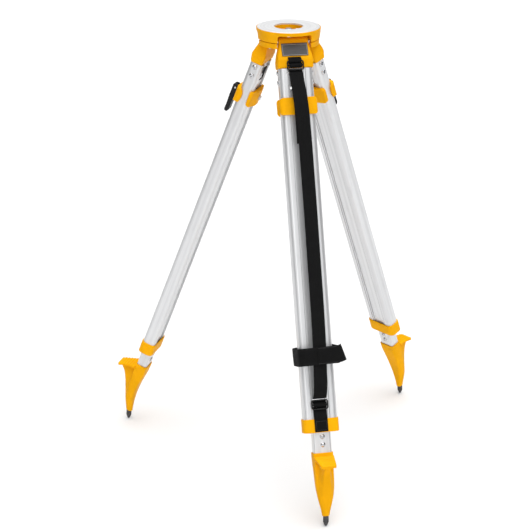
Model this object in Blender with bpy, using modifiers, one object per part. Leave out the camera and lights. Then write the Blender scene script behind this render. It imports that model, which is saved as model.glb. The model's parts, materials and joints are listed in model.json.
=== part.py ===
"""Surveyor's tripod: a flat aluminium head on three telescopic legs.

Each leg hangs from a pin that is clamped between the head casting and three bearing caps.
Two hollow rails make the upper leg, and a tube that carries the foot slides between them. A
cam clamp on the top of that tube grips the rails. The front leg also carries the shoulder strap.

A leg's pieces are modelled once, in the leg's own frame: the origin is on the hinge axis,
t runs along that axis, n points away from the tripod's centre and s runs down the leg. The
finished meshes are then shared by the three legs.
"""

import math

import bmesh
import bpy
from mathutils import Matrix, Vector

MM = 0.001
LEG_AZIMUTHS = {"front": 0.0, "right": 120.0, "left": -120.0}

# Overall sizes.
HEAD_RADIUS = 70 * MM
LEG_LENGTH = 1039 * MM  # hinge axis to the point of the spike, retracted
LEG_SPLAY = math.radians(21)
FOLD_CLEARANCE = 3.5 * MM  # between the rails of neighbouring legs when they hang straight down

# Clearances.
GAP = 0.35 * MM  # between pieces that touch
BORE_GAP = 0.4 * MM  # round a pin or a bolt, on the radius
SLIDE_GAP = 0.4 * MM  # between the sliding tube and what guides it

# Upper leg: two rails.
RAIL_WIDTH = 16.9 * MM
RAIL_DEPTH = 30 * MM
RAIL_WALL = 1.8 * MM
RAIL_ROUNDING = 9 * MM
LIP_WIDTH = 4.2 * MM
LIP_STEP = 0.8 * MM
LIP_SHOULDER = 0.7 * MM

# Lower leg: one tube.
TUBE_WIDTH = 39 * MM
TUBE_DEPTH = 24.6 * MM
TUBE_WALL = 2 * MM
TUBE_ROUNDING = 4.3 * MM

RAIL_INNER = TUBE_WIDTH / 2 + SLIDE_GAP
RAIL_OUTER = RAIL_INNER + RAIL_WIDTH
LIP_INNER = TUBE_DEPTH / 2 + SLIDE_GAP

# Head.
HEAD_TAPER = 2.4 * MM
HEAD_HOLE_RADIUS = 30 * MM
HEAD_WEB = 8 * MM  # from the top face down to the roof of a leg's notch
HINGE_DROP = 25 * MM  # from the top face down to the hinge axes
SPLIT_GAP = 1.4 * MM  # between the casting and the bearing caps
PLATE_THICKNESS = 3 * MM
PLATE_RIM = 1.4 * MM
PLATE_STEP = 0.6 * MM
BEARING_THICKNESS = 11 * MM
BEARING_INSET = 1.2 * MM
BEARING_NOSE = 5.5 * MM  # half width of a bearing cap at its inner end
PIN_RADIUS = 5 * MM
PIN_SEAT = 8.5 * MM  # length of the pin held in each bearing
CAP_BOLT_RADIUS = 3 * MM
CAP_BOLT_HEAD = 6 * MM
CAP_BOLT_HEAD_HEIGHT = 4 * MM
CAP_BOLT_CIRCLE = 53 * MM
CAP_BOLT_DEPTH = 11 * MM  # of thread in the casting

HINGE_RADIUS = RAIL_OUTER / math.tan(math.radians(60)) + RAIL_DEPTH / 2 + FOLD_CLEARANCE

# Leg cap.
CAP_TOP_HALF = RAIL_OUTER - 4.8 * MM
CAP_END_HALF = RAIL_OUTER + 2.2 * MM
KNUCKLE_RADIUS = 9.5 * MM
CAP_LENGTH = 58 * MM
CAP_SHOULDER = 38 * MM  # down to where the sloping front face ends
CAP_BULGE = RAIL_DEPTH / 2 + 3 * MM
TONGUE_LENGTH = 38 * MM
SIDE_GAP = 2.8 * MM  # between a leg cap and the side of its notch
LABEL_WIDTH = 57 * MM
LABEL_HEIGHT = 28.5 * MM
LABEL_THICKNESS = 1.4 * MM

NOTCH_HALF = CAP_TOP_HALF + 2 * MM + SIDE_GAP
NOTCH_INNER = HINGE_RADIUS - KNUCKLE_RADIUS - 1.5 * MM
PIN_HALF = NOTCH_HALF + PIN_SEAT
CASTING_BOTTOM = -HINGE_DROP + SPLIT_GAP / 2
BEARING_TOP = -HINGE_DROP - SPLIT_GAP / 2
BEARING_BOTTOM = BEARING_TOP - BEARING_THICKNESS

# Centre screw and the arm that carries it.
SCREW_RADIUS = 7.9 * MM
SCREW_DROP = 5 * MM  # from the head's top face down to the screw's end
SCREW_FLANGE_RADIUS = 11 * MM
SCREW_FLANGE_HEIGHT = 3 * MM
WASHER_RADIUS = 12 * MM
WASHER_THICKNESS = 1.5 * MM
ARM_THICKNESS = 5 * MM
ARM_HALF_WIDTH = 5.5 * MM
ARM_EYE_RADIUS = 8 * MM
ARM_RING_RADIUS = 13 * MM
SCREW_LIFT = 18 * MM
KNOB_RADIUS = 15 * MM
KNOB_HEIGHT = 28 * MM
KNOB_BORE_DEPTH = 18 * MM
HOOK_WIRE_RADIUS = 1.25 * MM
HOOK_RADIUS = 5 * MM
HOOK_STEM = 9 * MM

ARM_TOP = BEARING_BOTTOM - GAP
ARM_BOTTOM = ARM_TOP - ARM_THICKNESS
FLANGE_BOTTOM = ARM_TOP + GAP + WASHER_THICKNESS + GAP
KNOB_TOP = ARM_BOTTOM - SCREW_LIFT - 2 * MM
KNOB_BOTTOM = KNOB_TOP - KNOB_HEIGHT

# Collar at the lower end of the rails.
COLLAR_LENGTH = 29 * MM
COLLAR_HALF_WIDTH = RAIL_OUTER + 2.6 * MM
COLLAR_HALF_DEPTH = RAIL_DEPTH / 2 + 2.8 * MM
COLLAR_ROUNDING = 11 * MM
COLLAR_FLOOR = 3.6 * MM

# Clamp and its lever.
CLAMP_START = 121 * MM
CLAMP_HEIGHT = 36.5 * MM
CLAMP_HALF_WIDTH = RAIL_OUTER + 4.6 * MM
CLAMP_CORNER = 7 * MM
OUTER_PLATE_THICKNESS = 6 * MM
OUTER_FLANGE_EDGE = 4.5 * MM
INNER_PLATE_SIDE = 5 * MM
INNER_PLATE_MIDDLE = 9.5 * MM
INNER_FLANGE_EDGE = 10.5 * MM
CLAMP_BOLT_RADIUS = 3 * MM
CLAMP_EYE_RADIUS = 4.7 * MM
CLAMP_EYE_HALF = 4.4 * MM
CLAMP_NUT_RADIUS = 5.6 * MM
CLAMP_NUT_HEIGHT = 4.4 * MM
LEVER_CAM_RADIUS = 9.3 * MM
LEVER_LENGTH = 60 * MM
LEVER_OUTER = 7 * MM  # from its pin out to its outer face
LEVER_NECK_HALF = 9 * MM
LEVER_GRIP_HALF = 10.2 * MM
LEVER_PIN_RADIUS = 2.2 * MM

PLATE_FACE = RAIL_DEPTH / 2 + GAP + OUTER_PLATE_THICKNESS
INNER_FACE = RAIL_DEPTH / 2 + GAP + INNER_PLATE_MIDDLE
LEVER_PIN_N = PLATE_FACE + GAP + LEVER_CAM_RADIUS
LEVER_PIN_S = CLAMP_START + CLAMP_HEIGHT / 2
TUBE_START = CAP_LENGTH + TONGUE_LENGTH + 6 * MM

# Foot.
SPIKE_RADIUS = 6.2 * MM
SPIKE_EXPOSED = 20 * MM
SPIKE_SEAT = 16 * MM
SPIKE_TIP_RADIUS = 1.6 * MM
SPIKE_LEAN = math.radians(16.6)  # turned in from the leg, so that it stands nearly upright
SPIKE_INSET = 13.3 * MM  # of its point, inwards from the leg's middle plane
SHOE_LENGTH = 138 * MM
SHOE_WALL = 1.9 * MM
NOSE_WALL = 1.3 * MM
SHOE_SOCKET_DEPTH = 25 * MM
STEP_REACH = 57 * MM  # from the leg's middle plane out to the tread's edge
STEP_THICKNESS = 7 * MM
STEP_TAPER = 4.5 * MM  # on each side, from the tube out to the tread's edge
POCKET_DEPTH = 12 * MM

SHOE_HALF_WIDTH = TUBE_WIDTH / 2 + GAP + SHOE_WALL
SHOE_BACK = TUBE_DEPTH / 2 + GAP + SHOE_WALL
SPIKE_TOP_S = LEG_LENGTH - SPIKE_EXPOSED * math.cos(SPIKE_LEAN)
SPIKE_TOP_N = -SPIKE_INSET + SPIKE_EXPOSED * math.sin(SPIKE_LEAN)
SHOE_END = SPIKE_TOP_S - 2.5 * MM
SHOE_START = SHOE_END - SHOE_LENGTH
RAIL_START = CAP_LENGTH + GAP
COLLAR_END = SHOE_START - 44 * MM
COLLAR_START = COLLAR_END - COLLAR_LENGTH
RAIL_END = COLLAR_END - COLLAR_FLOOR - GAP

# Shoulder strap on the front leg.
STRAP_HALF_WIDTH = 15 * MM
STRAP_THICKNESS = 2 * MM
STRAP_STANDOFF = 3 * MM  # from the closed lever out to the strap
BUCKLE_HALF_WIDTH = 18.5 * MM
BUCKLE_HEIGHT = 22 * MM
BUCKLE_THICKNESS = 5 * MM
BUCKLE_BAR = 3.6 * MM
TOP_BUCKLE_START = 42 * MM
LOWER_BUCKLE_ABOVE_COLLAR = 42 * MM
TIE_ABOVE_COLLAR = 154 * MM
TIE_HEIGHT = 38 * MM
TIE_THICKNESS = 2 * MM

STRAP_N = LEVER_PIN_N + LEVER_OUTER + STRAP_STANDOFF + STRAP_THICKNESS / 2
LOWER_BUCKLE_START = COLLAR_START - LOWER_BUCKLE_ABOVE_COLLAR
TOP_BUCKLE_N = CAP_BULGE + GAP + BUCKLE_THICKNESS / 2
LOWER_BUCKLE_N = COLLAR_HALF_DEPTH + GAP + BUCKLE_THICKNESS / 2
TIE_START = COLLAR_START - TIE_ABOVE_COLLAR

# Small hook clip on the inner face of the left leg.
CLIP_START = 62 * MM
CLIP_SIZE = Vector((13, 5, 16)) * MM
CLIP_TAIL = Vector((3.2, 3, 10)) * MM

# Axes of a flat outline's own x, y and extrusion, as columns in the leg's frame.
SIDE_VIEW = Matrix(((0, 0, 1), (-1, 0, 0), (0, -1, 0))).to_4x4()  # outline in n and s
FRONT_VIEW = Matrix(((1, 0, 0), (0, 0, 1), (0, -1, 0))).to_4x4()  # outline in t and s
SECTION = Matrix(((1, 0, 0), (0, -1, 0), (0, 0, -1))).to_4x4()  # outline in t and n
PLAN = Matrix.Identity(4)  # outline in x and y
ALONG_T = Matrix.Rotation(math.radians(90), 4, "Y")
ALONG_N = Matrix.Rotation(math.radians(90), 4, "X")


def leg_point(t, n, s):
    """A place in the leg's frame, where n points to -Y and s to -Z."""
    return Vector((t, -n, -s))


# Scene and materials.


def clear_scene():
    for obj in list(bpy.data.objects):
        bpy.data.objects.remove(obj, do_unlink=True)


def new_collection(name):
    collection = bpy.data.collections.new(name)
    bpy.context.scene.collection.children.link(collection)
    return collection


def material(name, colour, roughness, metallic=0.0):
    made = bpy.data.materials.new(name)
    made.use_nodes = True
    shader = made.node_tree.nodes["Principled BSDF"]
    shader.inputs["Base Color"].default_value = (*colour, 1)
    shader.inputs["Roughness"].default_value = roughness
    shader.inputs["Metallic"].default_value = metallic
    return made


# Workshop shapes: blanks and cutters, kept out of the render.


def blank(name, mesh):
    obj = bpy.data.objects.new(name, mesh)
    cutters.objects.link(obj)
    obj.hide_render = True
    obj.display_type = "WIRE"
    return obj


def from_bmesh(name, shape):
    mesh = bpy.data.meshes.new(name)
    shape.to_mesh(mesh)
    shape.free()
    return blank(name, mesh)


def box(name, size, centre):
    shape = bmesh.new()
    bmesh.ops.create_cube(shape, size=1, matrix=Matrix.Translation(centre) @ Matrix.Diagonal((*size, 1)))
    return from_bmesh(name, shape)


def cone(name, radii, length, centre, turn=PLAN, segments=24):
    shape = bmesh.new()
    bmesh.ops.create_cone(
        shape,
        cap_ends=True,
        segments=segments,
        radius1=radii[0],
        radius2=radii[1],
        depth=length,
        matrix=Matrix.Translation(centre) @ turn,
    )
    return from_bmesh(name, shape)


def rod(name, radius, length, centre, turn=PLAN, segments=24):
    return cone(name, (radius, radius), length, centre, turn, segments)


def baked(obj, weld=1e-6):
    """The object's evaluated mesh, with the loose caps of a curve welded on."""
    graph = bpy.context.evaluated_depsgraph_get()
    mesh = bpy.data.meshes.new_from_object(obj.evaluated_get(graph))
    shape = bmesh.new()
    shape.from_mesh(mesh)
    bmesh.ops.remove_doubles(shape, verts=shape.verts, dist=weld)
    shape.to_mesh(mesh)
    shape.free()
    return mesh


def prism(name, outlines, start, end, view):
    """A flat outline, with any further ones as holes in it, extruded from start to end."""
    curve = bpy.data.curves.new(name, "CURVE")
    curve.dimensions = "2D"
    curve.fill_mode = "BOTH"
    curve.extrude = abs(end - start) / 2
    for outline in outlines:
        spline = curve.splines.new("POLY")
        spline.points.add(len(outline) - 1)
        for point, (x, y) in zip(spline.points, outline):
            point.co = (x, y, 0, 1)
        spline.use_cyclic_u = True
    flat = bpy.data.objects.new(name, curve)
    cutters.objects.link(flat)
    mesh = baked(flat)
    mesh.transform(view @ Matrix.Translation((0, 0, (start + end) / 2)))
    bpy.data.objects.remove(flat, do_unlink=True)
    bpy.data.curves.remove(curve)
    return blank(name, mesh)


def side_prism(name, outline, half_width):
    return prism(name, [outline], -half_width, half_width, SIDE_VIEW)


def front_prism(name, outline, n_start, n_end):
    return prism(name, [outline], -n_end, -n_start, FRONT_VIEW)


def turned(name, profile, steps=32, hollow=False):
    """A profile of radius and height turned round Z. It runs down its outer side."""
    mesh = bpy.data.meshes.new(name)
    edges = [(i, i + 1) for i in range(len(profile) - 1)]
    if hollow:
        edges.append((len(profile) - 1, 0))
    mesh.from_pydata([(radius, 0, height) for radius, height in profile], edges, [])
    obj = blank(name, mesh)
    screw = obj.modifiers.new("turn", "SCREW")
    screw.steps = steps
    screw.render_steps = steps
    screw.use_merge_vertices = True
    screw.merge_threshold = 1e-5
    return obj


def boolean(obj, operation, *others):
    for other in others:
        modifier = obj.modifiers.new(operation.lower(), "BOOLEAN")
        modifier.operation = operation
        modifier.solver = "EXACT"
        modifier.object = other
    return obj


def cut(obj, *others):
    return boolean(obj, "DIFFERENCE", *others)


def join(obj, *others):
    return boolean(obj, "UNION", *others)


def common(obj, *others):
    return boolean(obj, "INTERSECT", *others)


def bevel(obj, width, segments=1, angle=30):
    modifier = obj.modifiers.new("bevel", "BEVEL")
    modifier.width = width
    modifier.segments = segments
    modifier.limit_method = "ANGLE"
    modifier.angle_limit = math.radians(angle)
    return obj


# Outlines.


def arc(centre, radius, start, end, count):
    """Points on a circle between two angles in degrees, both ends included."""
    angles = (math.radians(start + (end - start) * i / count) for i in range(count + 1))
    return [(centre[0] + radius * math.cos(a), centre[1] + radius * math.sin(a)) for a in angles]


def rounded_box(half_x, half_y, radius, count=4, centre=(0, 0)):
    corners = ((1, 1, 0), (-1, 1, 90), (-1, -1, 180), (1, -1, 270))
    outline = []
    for side_x, side_y, start in corners:
        middle = (
            centre[0] + side_x * (half_x - radius),
            centre[1] + side_y * (half_y - radius),
        )
        outline += arc(middle, radius, start, start + 90, count)
    return outline


def mirrored(half):
    """An outline from its half at positive x, listed from one end to the other."""
    return half + [(-x, y) for x, y in reversed(half)]


# Head.


def head_notches():
    """The three slots that the leg caps swing in."""
    depth = HEAD_RADIUS * 1.5 - NOTCH_INNER
    height = HINGE_DROP + BEARING_THICKNESS * 2
    notches = []
    for side, azimuth in LEG_AZIMUTHS.items():
        centre = Vector((0, -NOTCH_INNER - depth / 2, -HEAD_WEB - height / 2))
        notch = box(f"{side}_notch", (NOTCH_HALF * 2, depth, height), centre)
        notch.data.transform(Matrix.Rotation(math.radians(azimuth), 4, "Z"))
        notches.append(bevel(notch, 3 * MM))
    return notches


def pin_grooves():
    grooves = []
    for side, azimuth in LEG_AZIMUTHS.items():
        centre = Vector((0, -HINGE_RADIUS, -HINGE_DROP))
        groove = rod(f"{side}_groove", PIN_RADIUS + BORE_GAP, (PIN_HALF + GAP) * 2, centre, ALONG_T)
        groove.data.transform(Matrix.Rotation(math.radians(azimuth), 4, "Z"))
        grooves.append(groove)
    return grooves


def lobe_azimuths():
    return {side: azimuth + 180 for side, azimuth in LEG_AZIMUTHS.items()}


def bolt_place(azimuth):
    turn = math.radians(azimuth)
    return Vector((math.sin(turn), -math.cos(turn), 0)) * CAP_BOLT_CIRCLE


def head_casting(notches, grooves):
    rim = HEAD_RADIUS - PLATE_RIM
    floor = -PLATE_THICKNESS - GAP
    profile = [
        (rim + 0.4 * MM, -PLATE_STEP),
        (HEAD_RADIUS - 0.3 * MM, -PLATE_STEP - 0.3 * MM),
        (HEAD_RADIUS, -PLATE_STEP - 1 * MM),
        (HEAD_RADIUS - HEAD_TAPER, CASTING_BOTTOM + 1 * MM),
        (HEAD_RADIUS - HEAD_TAPER - 1 * MM, CASTING_BOTTOM),
        (HEAD_HOLE_RADIUS, CASTING_BOTTOM),
        (HEAD_HOLE_RADIUS, floor),
        (rim, floor),
    ]
    casting = turned("head_blank", profile, steps=60, hollow=True)
    holes = []
    for side, azimuth in lobe_azimuths().items():
        centre = bolt_place(azimuth) + Vector((0, 0, CASTING_BOTTOM))
        hole = rod(f"{side}_thread", CAP_BOLT_RADIUS + BORE_GAP, CAP_BOLT_DEPTH * 2, centre, segments=16)
        holes.append(hole)
    return baked(cut(casting, *notches, *grooves, *holes))


def head_plate():
    top, bottom, chamfer = 0, -PLATE_THICKNESS, 0.5 * MM
    outer = HEAD_RADIUS - PLATE_RIM - GAP
    inner = HEAD_HOLE_RADIUS + 1.2 * MM
    profile = [
        (inner, top),
        (outer - chamfer, top),
        (outer, top - chamfer),
        (outer, bottom),
        (inner, bottom),
    ]
    return baked(turned("plate_blank", profile, steps=60, hollow=True))


def bearing_cap(grooves):
    """One wedge between two legs, drawn about the back of the tripod."""
    radius = HEAD_RADIUS - HEAD_TAPER - BEARING_INSET
    side = NOTCH_HALF + GAP
    slope = math.tan(math.radians(60))
    # The side runs along the neighbouring notch: half width = slope * y - 2 * side.
    reach = (side * math.sqrt(3) + math.sqrt(radius**2 - side**2)) / 2
    end_angle = math.degrees(math.acos(reach / radius))
    half = [(slope * y - 2 * side, y) for y in ((BEARING_NOSE + 2 * side) / slope, reach)]
    outer = arc((0, 0), radius, 90 - end_angle, 90, 5)[1:-1]
    outline = mirrored(half + outer) + [(0, radius)]
    outline.sort(key=lambda point: math.atan2(point[1] - CAP_BOLT_CIRCLE, point[0]))
    wedge = prism("bearing_blank", [outline], BEARING_BOTTOM, BEARING_TOP, PLAN)
    bevel(wedge, 1 * MM)
    centre = Vector((0, CAP_BOLT_CIRCLE, BEARING_TOP))
    hole = rod("bearing_hole", CAP_BOLT_RADIUS + BORE_GAP, BEARING_THICKNESS * 3, centre, segments=16)
    return baked(cut(wedge, *grooves, hole))


def cap_bolt(name, under_head):
    """A dome-headed bolt up into the casting. Its head bears at the height under_head."""
    top = CASTING_BOTTOM + CAP_BOLT_DEPTH - 1 * MM
    lip, dome = 1.2 * MM, CAP_BOLT_HEAD_HEIGHT
    profile = [
        (0, top),
        (CAP_BOLT_RADIUS, top),
        (CAP_BOLT_RADIUS, under_head),
        (CAP_BOLT_HEAD, under_head),
        (CAP_BOLT_HEAD, under_head - lip),
        (CAP_BOLT_HEAD * 0.72, under_head - dome * 0.85),
        (CAP_BOLT_HEAD * 0.4, under_head - dome),
        (0, under_head - dome),
    ]
    return baked(turned(name, profile, steps=16))


def swing_arm():
    """Eye, bar and ring of the arm. Its origin is on the eye's axis."""
    middle = (ARM_TOP + ARM_BOTTOM) / 2
    ring_centre = Vector((0, -CAP_BOLT_CIRCLE, middle))
    bar_size = (ARM_HALF_WIDTH * 2, CAP_BOLT_CIRCLE, ARM_THICKNESS - 0.01 * MM)
    eye = rod("arm_eye", ARM_EYE_RADIUS, ARM_THICKNESS, Vector((0, 0, middle)))
    ring = rod("arm_ring", ARM_RING_RADIUS, ARM_THICKNESS, ring_centre, segments=32)
    bar = box("arm_bar", bar_size, ring_centre / 2 + Vector((0, 0, middle / 2)))
    pivot = rod("arm_pivot", CAP_BOLT_RADIUS + BORE_GAP, ARM_THICKNESS * 3, Vector((0, 0, middle)), segments=16)
    bore = rod("arm_bore", SCREW_RADIUS + BORE_GAP, ARM_THICKNESS * 3, ring_centre)
    return baked(cut(join(eye, bar, ring), pivot, bore))


def screw_washer():
    bottom = ARM_TOP + GAP
    top = bottom + WASHER_THICKNESS
    bore = SCREW_RADIUS + BORE_GAP
    profile = [(bore, top), (WASHER_RADIUS, top), (WASHER_RADIUS, bottom), (bore, bottom)]
    return baked(turned("washer_blank", profile, hollow=True))


def centre_screw():
    top, chamfer = -SCREW_DROP, 1.2 * MM
    flange_top = FLANGE_BOTTOM + SCREW_FLANGE_HEIGHT
    bottom = KNOB_TOP - KNOB_BORE_DEPTH
    profile = [
        (0, top),
        (SCREW_RADIUS - chamfer, top),
        (SCREW_RADIUS, top - chamfer),
        (SCREW_RADIUS, flange_top),
        (SCREW_FLANGE_RADIUS, flange_top),
        (SCREW_FLANGE_RADIUS, FLANGE_BOTTOM),
        (SCREW_RADIUS, FLANGE_BOTTOM),
        (SCREW_RADIUS, bottom),
        (0, bottom),
    ]
    return baked(turned("screw_blank", profile, steps=24))


def screw_knob():
    waist = KNOB_RADIUS * 0.9
    profile = [
        (0, KNOB_TOP),
        (waist - 2 * MM, KNOB_TOP),
        (waist, KNOB_TOP - 2 * MM),
        (KNOB_RADIUS, KNOB_TOP - 7 * MM),
        (KNOB_RADIUS, KNOB_BOTTOM + 4 * MM),
        (waist, KNOB_BOTTOM),
        (0, KNOB_BOTTOM),
    ]
    top, bottom = Vector((0, 0, KNOB_TOP)), Vector((0, 0, KNOB_BOTTOM))
    bore = rod("knob_bore", SCREW_RADIUS + GAP, (KNOB_BORE_DEPTH + GAP) * 2, top)
    seat = rod("hook_seat", HOOK_WIRE_RADIUS + BORE_GAP, HOOK_STEM * 1.2, bottom, segments=12)
    return baked(cut(turned("knob_blank", profile), bore, seat))


def plumb_hook():
    """An open ring of wire under the knob, for a plumb line."""
    centre = KNOB_BOTTOM - HOOK_STEM * 0.4 - HOOK_RADIUS
    loop = arc((0, centre), HOOK_RADIUS, 90, 380, 16)
    points = [(0, KNOB_BOTTOM + HOOK_STEM * 0.55), (0, KNOB_BOTTOM)] + loop
    curve = bpy.data.curves.new("hook_wire", "CURVE")
    curve.dimensions = "3D"
    curve.bevel_depth = HOOK_WIRE_RADIUS
    curve.bevel_resolution = 1
    curve.use_fill_caps = True
    spline = curve.splines.new("POLY")
    spline.points.add(len(points) - 1)
    for point, (x, z) in zip(spline.points, points):
        point.co = (x, 0, z, 1)
    wire = bpy.data.objects.new("hook_wire", curve)
    cutters.objects.link(wire)
    mesh = baked(wire)
    bpy.data.objects.remove(wire, do_unlink=True)
    return mesh


# Upper leg.


def leg_cap():
    """The casting that joins the rails and turns on the hinge pin."""
    knuckle = arc((0, 0), KNUCKLE_RADIUS, 0, -180, 10)
    back = RAIL_DEPTH / 2 - 0.8 * MM
    side = knuckle + [
        (-KNUCKLE_RADIUS, CAP_LENGTH * 0.3),
        (-back, CAP_LENGTH * 0.72),
        (-back + 1 * MM, CAP_LENGTH),
        (RAIL_DEPTH / 2 - 1 * MM, CAP_LENGTH),
        (CAP_BULGE, CAP_SHOULDER + 3 * MM),
        (CAP_BULGE, CAP_SHOULDER),
    ]
    front = mirrored(
        [
            (CAP_TOP_HALF, -KNUCKLE_RADIUS * 2),
            (CAP_TOP_HALF + 0.5 * MM, CAP_LENGTH * 0.14),
            (CAP_TOP_HALF + 2 * MM, CAP_LENGTH * 0.3),
            (CAP_END_HALF - 2 * MM, CAP_LENGTH * 0.5),
            (CAP_END_HALF, CAP_LENGTH * 0.75),
            (CAP_END_HALF, CAP_LENGTH * 1.5),
        ]
    )
    body = side_prism("cap_blank", side, CAP_END_HALF * 1.1)
    common(body, front_prism("cap_front", front, -RAIL_DEPTH * 2, RAIL_DEPTH * 2))
    bevel(body, 2.2 * MM, angle=40)
    tongue_size = (RAIL_INNER * 2 - 1.2 * MM, LIP_INNER * 2 - 1.2 * MM, TONGUE_LENGTH * 2)
    tongue = box("cap_tongue", tongue_size, leg_point(0, 0, CAP_LENGTH))
    trim = box("tongue_trim", (1, 1, CAP_LENGTH), leg_point(0, 0, CAP_LENGTH / 2 - 4 * MM))
    bore = rod("cap_bore", PIN_RADIUS + BORE_GAP, NOTCH_HALF * 4, leg_point(0, 0, 0), ALONG_T)
    return baked(cut(join(body, blank("cap_tongue_end", baked(cut(tongue, trim)))), bore))


def label_panel():
    """A plain plate on the sloping front face of the cap."""
    rise = CAP_BULGE - KNUCKLE_RADIUS
    slope = math.atan2(rise, CAP_SHOULDER)
    plate = box("label_blank", (LABEL_WIDTH, LABEL_THICKNESS, LABEL_HEIGHT), Vector())
    stand = GAP + LABEL_THICKNESS / 2
    middle = CAP_SHOULDER * 0.5
    face = KNUCKLE_RADIUS + rise * middle / CAP_SHOULDER
    place = leg_point(0, face + stand * math.cos(slope), middle - stand * math.sin(slope))
    mesh = baked(bevel(plate, 0.4 * MM))
    mesh.transform(Matrix.Translation(place) @ Matrix.Rotation(-slope, 4, "X"))
    return mesh


def hinge_pin():
    return baked(bevel(rod("pin_blank", PIN_RADIUS, PIN_HALF * 2, Vector(), ALONG_T), 0.6 * MM, angle=60))


def rail(side):
    """One hollow rail. Its two lips hold the sliding tube from the front and the back."""
    half_depth = RAIL_DEPTH / 2
    middle = (RAIL_OUTER - RAIL_ROUNDING, half_depth - RAIL_ROUNDING)
    lip_tip = RAIL_INNER - LIP_WIDTH
    seam = RAIL_INNER - LIP_SHOULDER
    upper = [
        (RAIL_INNER, LIP_INNER),
        (lip_tip, LIP_INNER),
        (lip_tip, half_depth - LIP_STEP),
        (seam, half_depth - LIP_STEP),
        (seam + LIP_STEP / 2, half_depth),
    ]
    outer = upper + arc(middle, RAIL_ROUNDING, 90, 0, 6)
    outline = outer + [(x, -y) for x, y in reversed(outer)]
    inner_corner = (RAIL_INNER + RAIL_WALL, half_depth - RAIL_WALL)
    inner_arc = arc(middle, RAIL_ROUNDING - RAIL_WALL, 90, 0, 5)
    hollow = [inner_corner] + inner_arc
    hollow += [(x, -y) for x, y in reversed(hollow)]
    outlines = [[(side * x, y) for x, y in ring] for ring in (outline, hollow)]
    return baked(prism("rail_blank", outlines, RAIL_START, RAIL_END, SECTION))


def collar():
    outer = rounded_box(COLLAR_HALF_WIDTH, COLLAR_HALF_DEPTH, COLLAR_ROUNDING, 3)
    body = bevel(prism("collar_blank", [outer], COLLAR_START, COLLAR_END, SECTION), 1 * MM, angle=50)
    seat = rounded_box(RAIL_OUTER + GAP, RAIL_DEPTH / 2 + GAP, RAIL_ROUNDING + GAP, 4)
    bore = rounded_box(TUBE_WIDTH / 2 + SLIDE_GAP, TUBE_DEPTH / 2 + SLIDE_GAP, TUBE_ROUNDING, 2)
    seat_floor = COLLAR_END - COLLAR_FLOOR
    pocket = prism("collar_seat", [seat], COLLAR_START - COLLAR_LENGTH, seat_floor, SECTION)
    through = prism("collar_bore", [bore], COLLAR_START, COLLAR_END + COLLAR_LENGTH, SECTION)
    return baked(cut(body, pocket, through))


# Lower leg.


def lower_leg():
    outer = rounded_box(TUBE_WIDTH / 2, TUBE_DEPTH / 2, TUBE_ROUNDING, 3)
    inner_rounding = TUBE_ROUNDING - TUBE_WALL
    inner = rounded_box(TUBE_WIDTH / 2 - TUBE_WALL, TUBE_DEPTH / 2 - TUBE_WALL, inner_rounding, 2)
    end = SHOE_START + SHOE_SOCKET_DEPTH - GAP
    tube = prism("tube_blank", [outer, inner], TUBE_START, end, SECTION)
    return baked(cut(tube, bolt_hole()))


def bolt_hole():
    """Clears the clamp's bolt through everything that it passes."""
    centre = leg_point(0, 0, LEVER_PIN_S)
    return rod("bolt_hole", CLAMP_BOLT_RADIUS + BORE_GAP, RAIL_DEPTH * 4, centre, ALONG_N, 16)


def rail_wrap(sign, edge):
    """Half the line that clears a rail: from the edge of a flange round to the flat."""
    middle = (RAIL_OUTER - RAIL_ROUNDING, RAIL_DEPTH / 2 - RAIL_ROUNDING)
    radius = RAIL_ROUNDING + GAP
    start = math.degrees(math.asin(max(edge - middle[1], 0) / radius))
    wrap = arc(middle, radius, start, 90, 4)
    if edge < middle[1]:
        wrap.insert(0, (RAIL_OUTER + GAP, edge))
    return [(x, sign * y) for x, y in wrap]


def clamp_plate(name, outer, sign, edge, side):
    """A plate round one face of the rails: its section, cut to its front and side outlines."""
    inner = rail_wrap(sign, edge)
    section = outer + [(-x, y) for x, y in reversed(outer)] + [(-x, y) for x, y in inner] + inner[::-1]
    plate = prism(name, [section], CLAMP_START - 5 * MM, CLAMP_START + CLAMP_HEIGHT + 5 * MM, SECTION)
    face = rounded_box(CLAMP_HALF_WIDTH, CLAMP_HEIGHT / 2, CLAMP_CORNER, 3, (0, LEVER_PIN_S))
    common(plate, front_prism("clamp_face", face, -RAIL_DEPTH * 2, RAIL_DEPTH * 2))
    common(plate, side_prism("clamp_side", side, CLAMP_HALF_WIDTH * 1.5))
    return baked(cut(bevel(plate, 0.8 * MM, angle=50), bolt_hole()))


def clamp_outer():
    half, edge = CLAMP_HALF_WIDTH, OUTER_FLANGE_EDGE
    rounding = 9 * MM
    outer = [(half, edge)] + arc((half - rounding, PLATE_FACE - rounding), rounding, 0, 90, 4)
    top, bottom = CLAMP_START, CLAMP_START + CLAMP_HEIGHT
    side = [
        (PLATE_FACE + 1 * MM, top - 1 * MM),
        (edge + 10 * MM, top - 1 * MM),
        (edge + 1.5 * MM, top + 8 * MM),
        (edge - 1 * MM, LEVER_PIN_S),
        (edge + 1 * MM, bottom - 8 * MM),
        (edge + 5 * MM, bottom + 1 * MM),
        (PLATE_FACE + 1 * MM, bottom + 1 * MM),
    ]
    return clamp_plate("outer_blank", outer, 1, edge, side)


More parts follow.
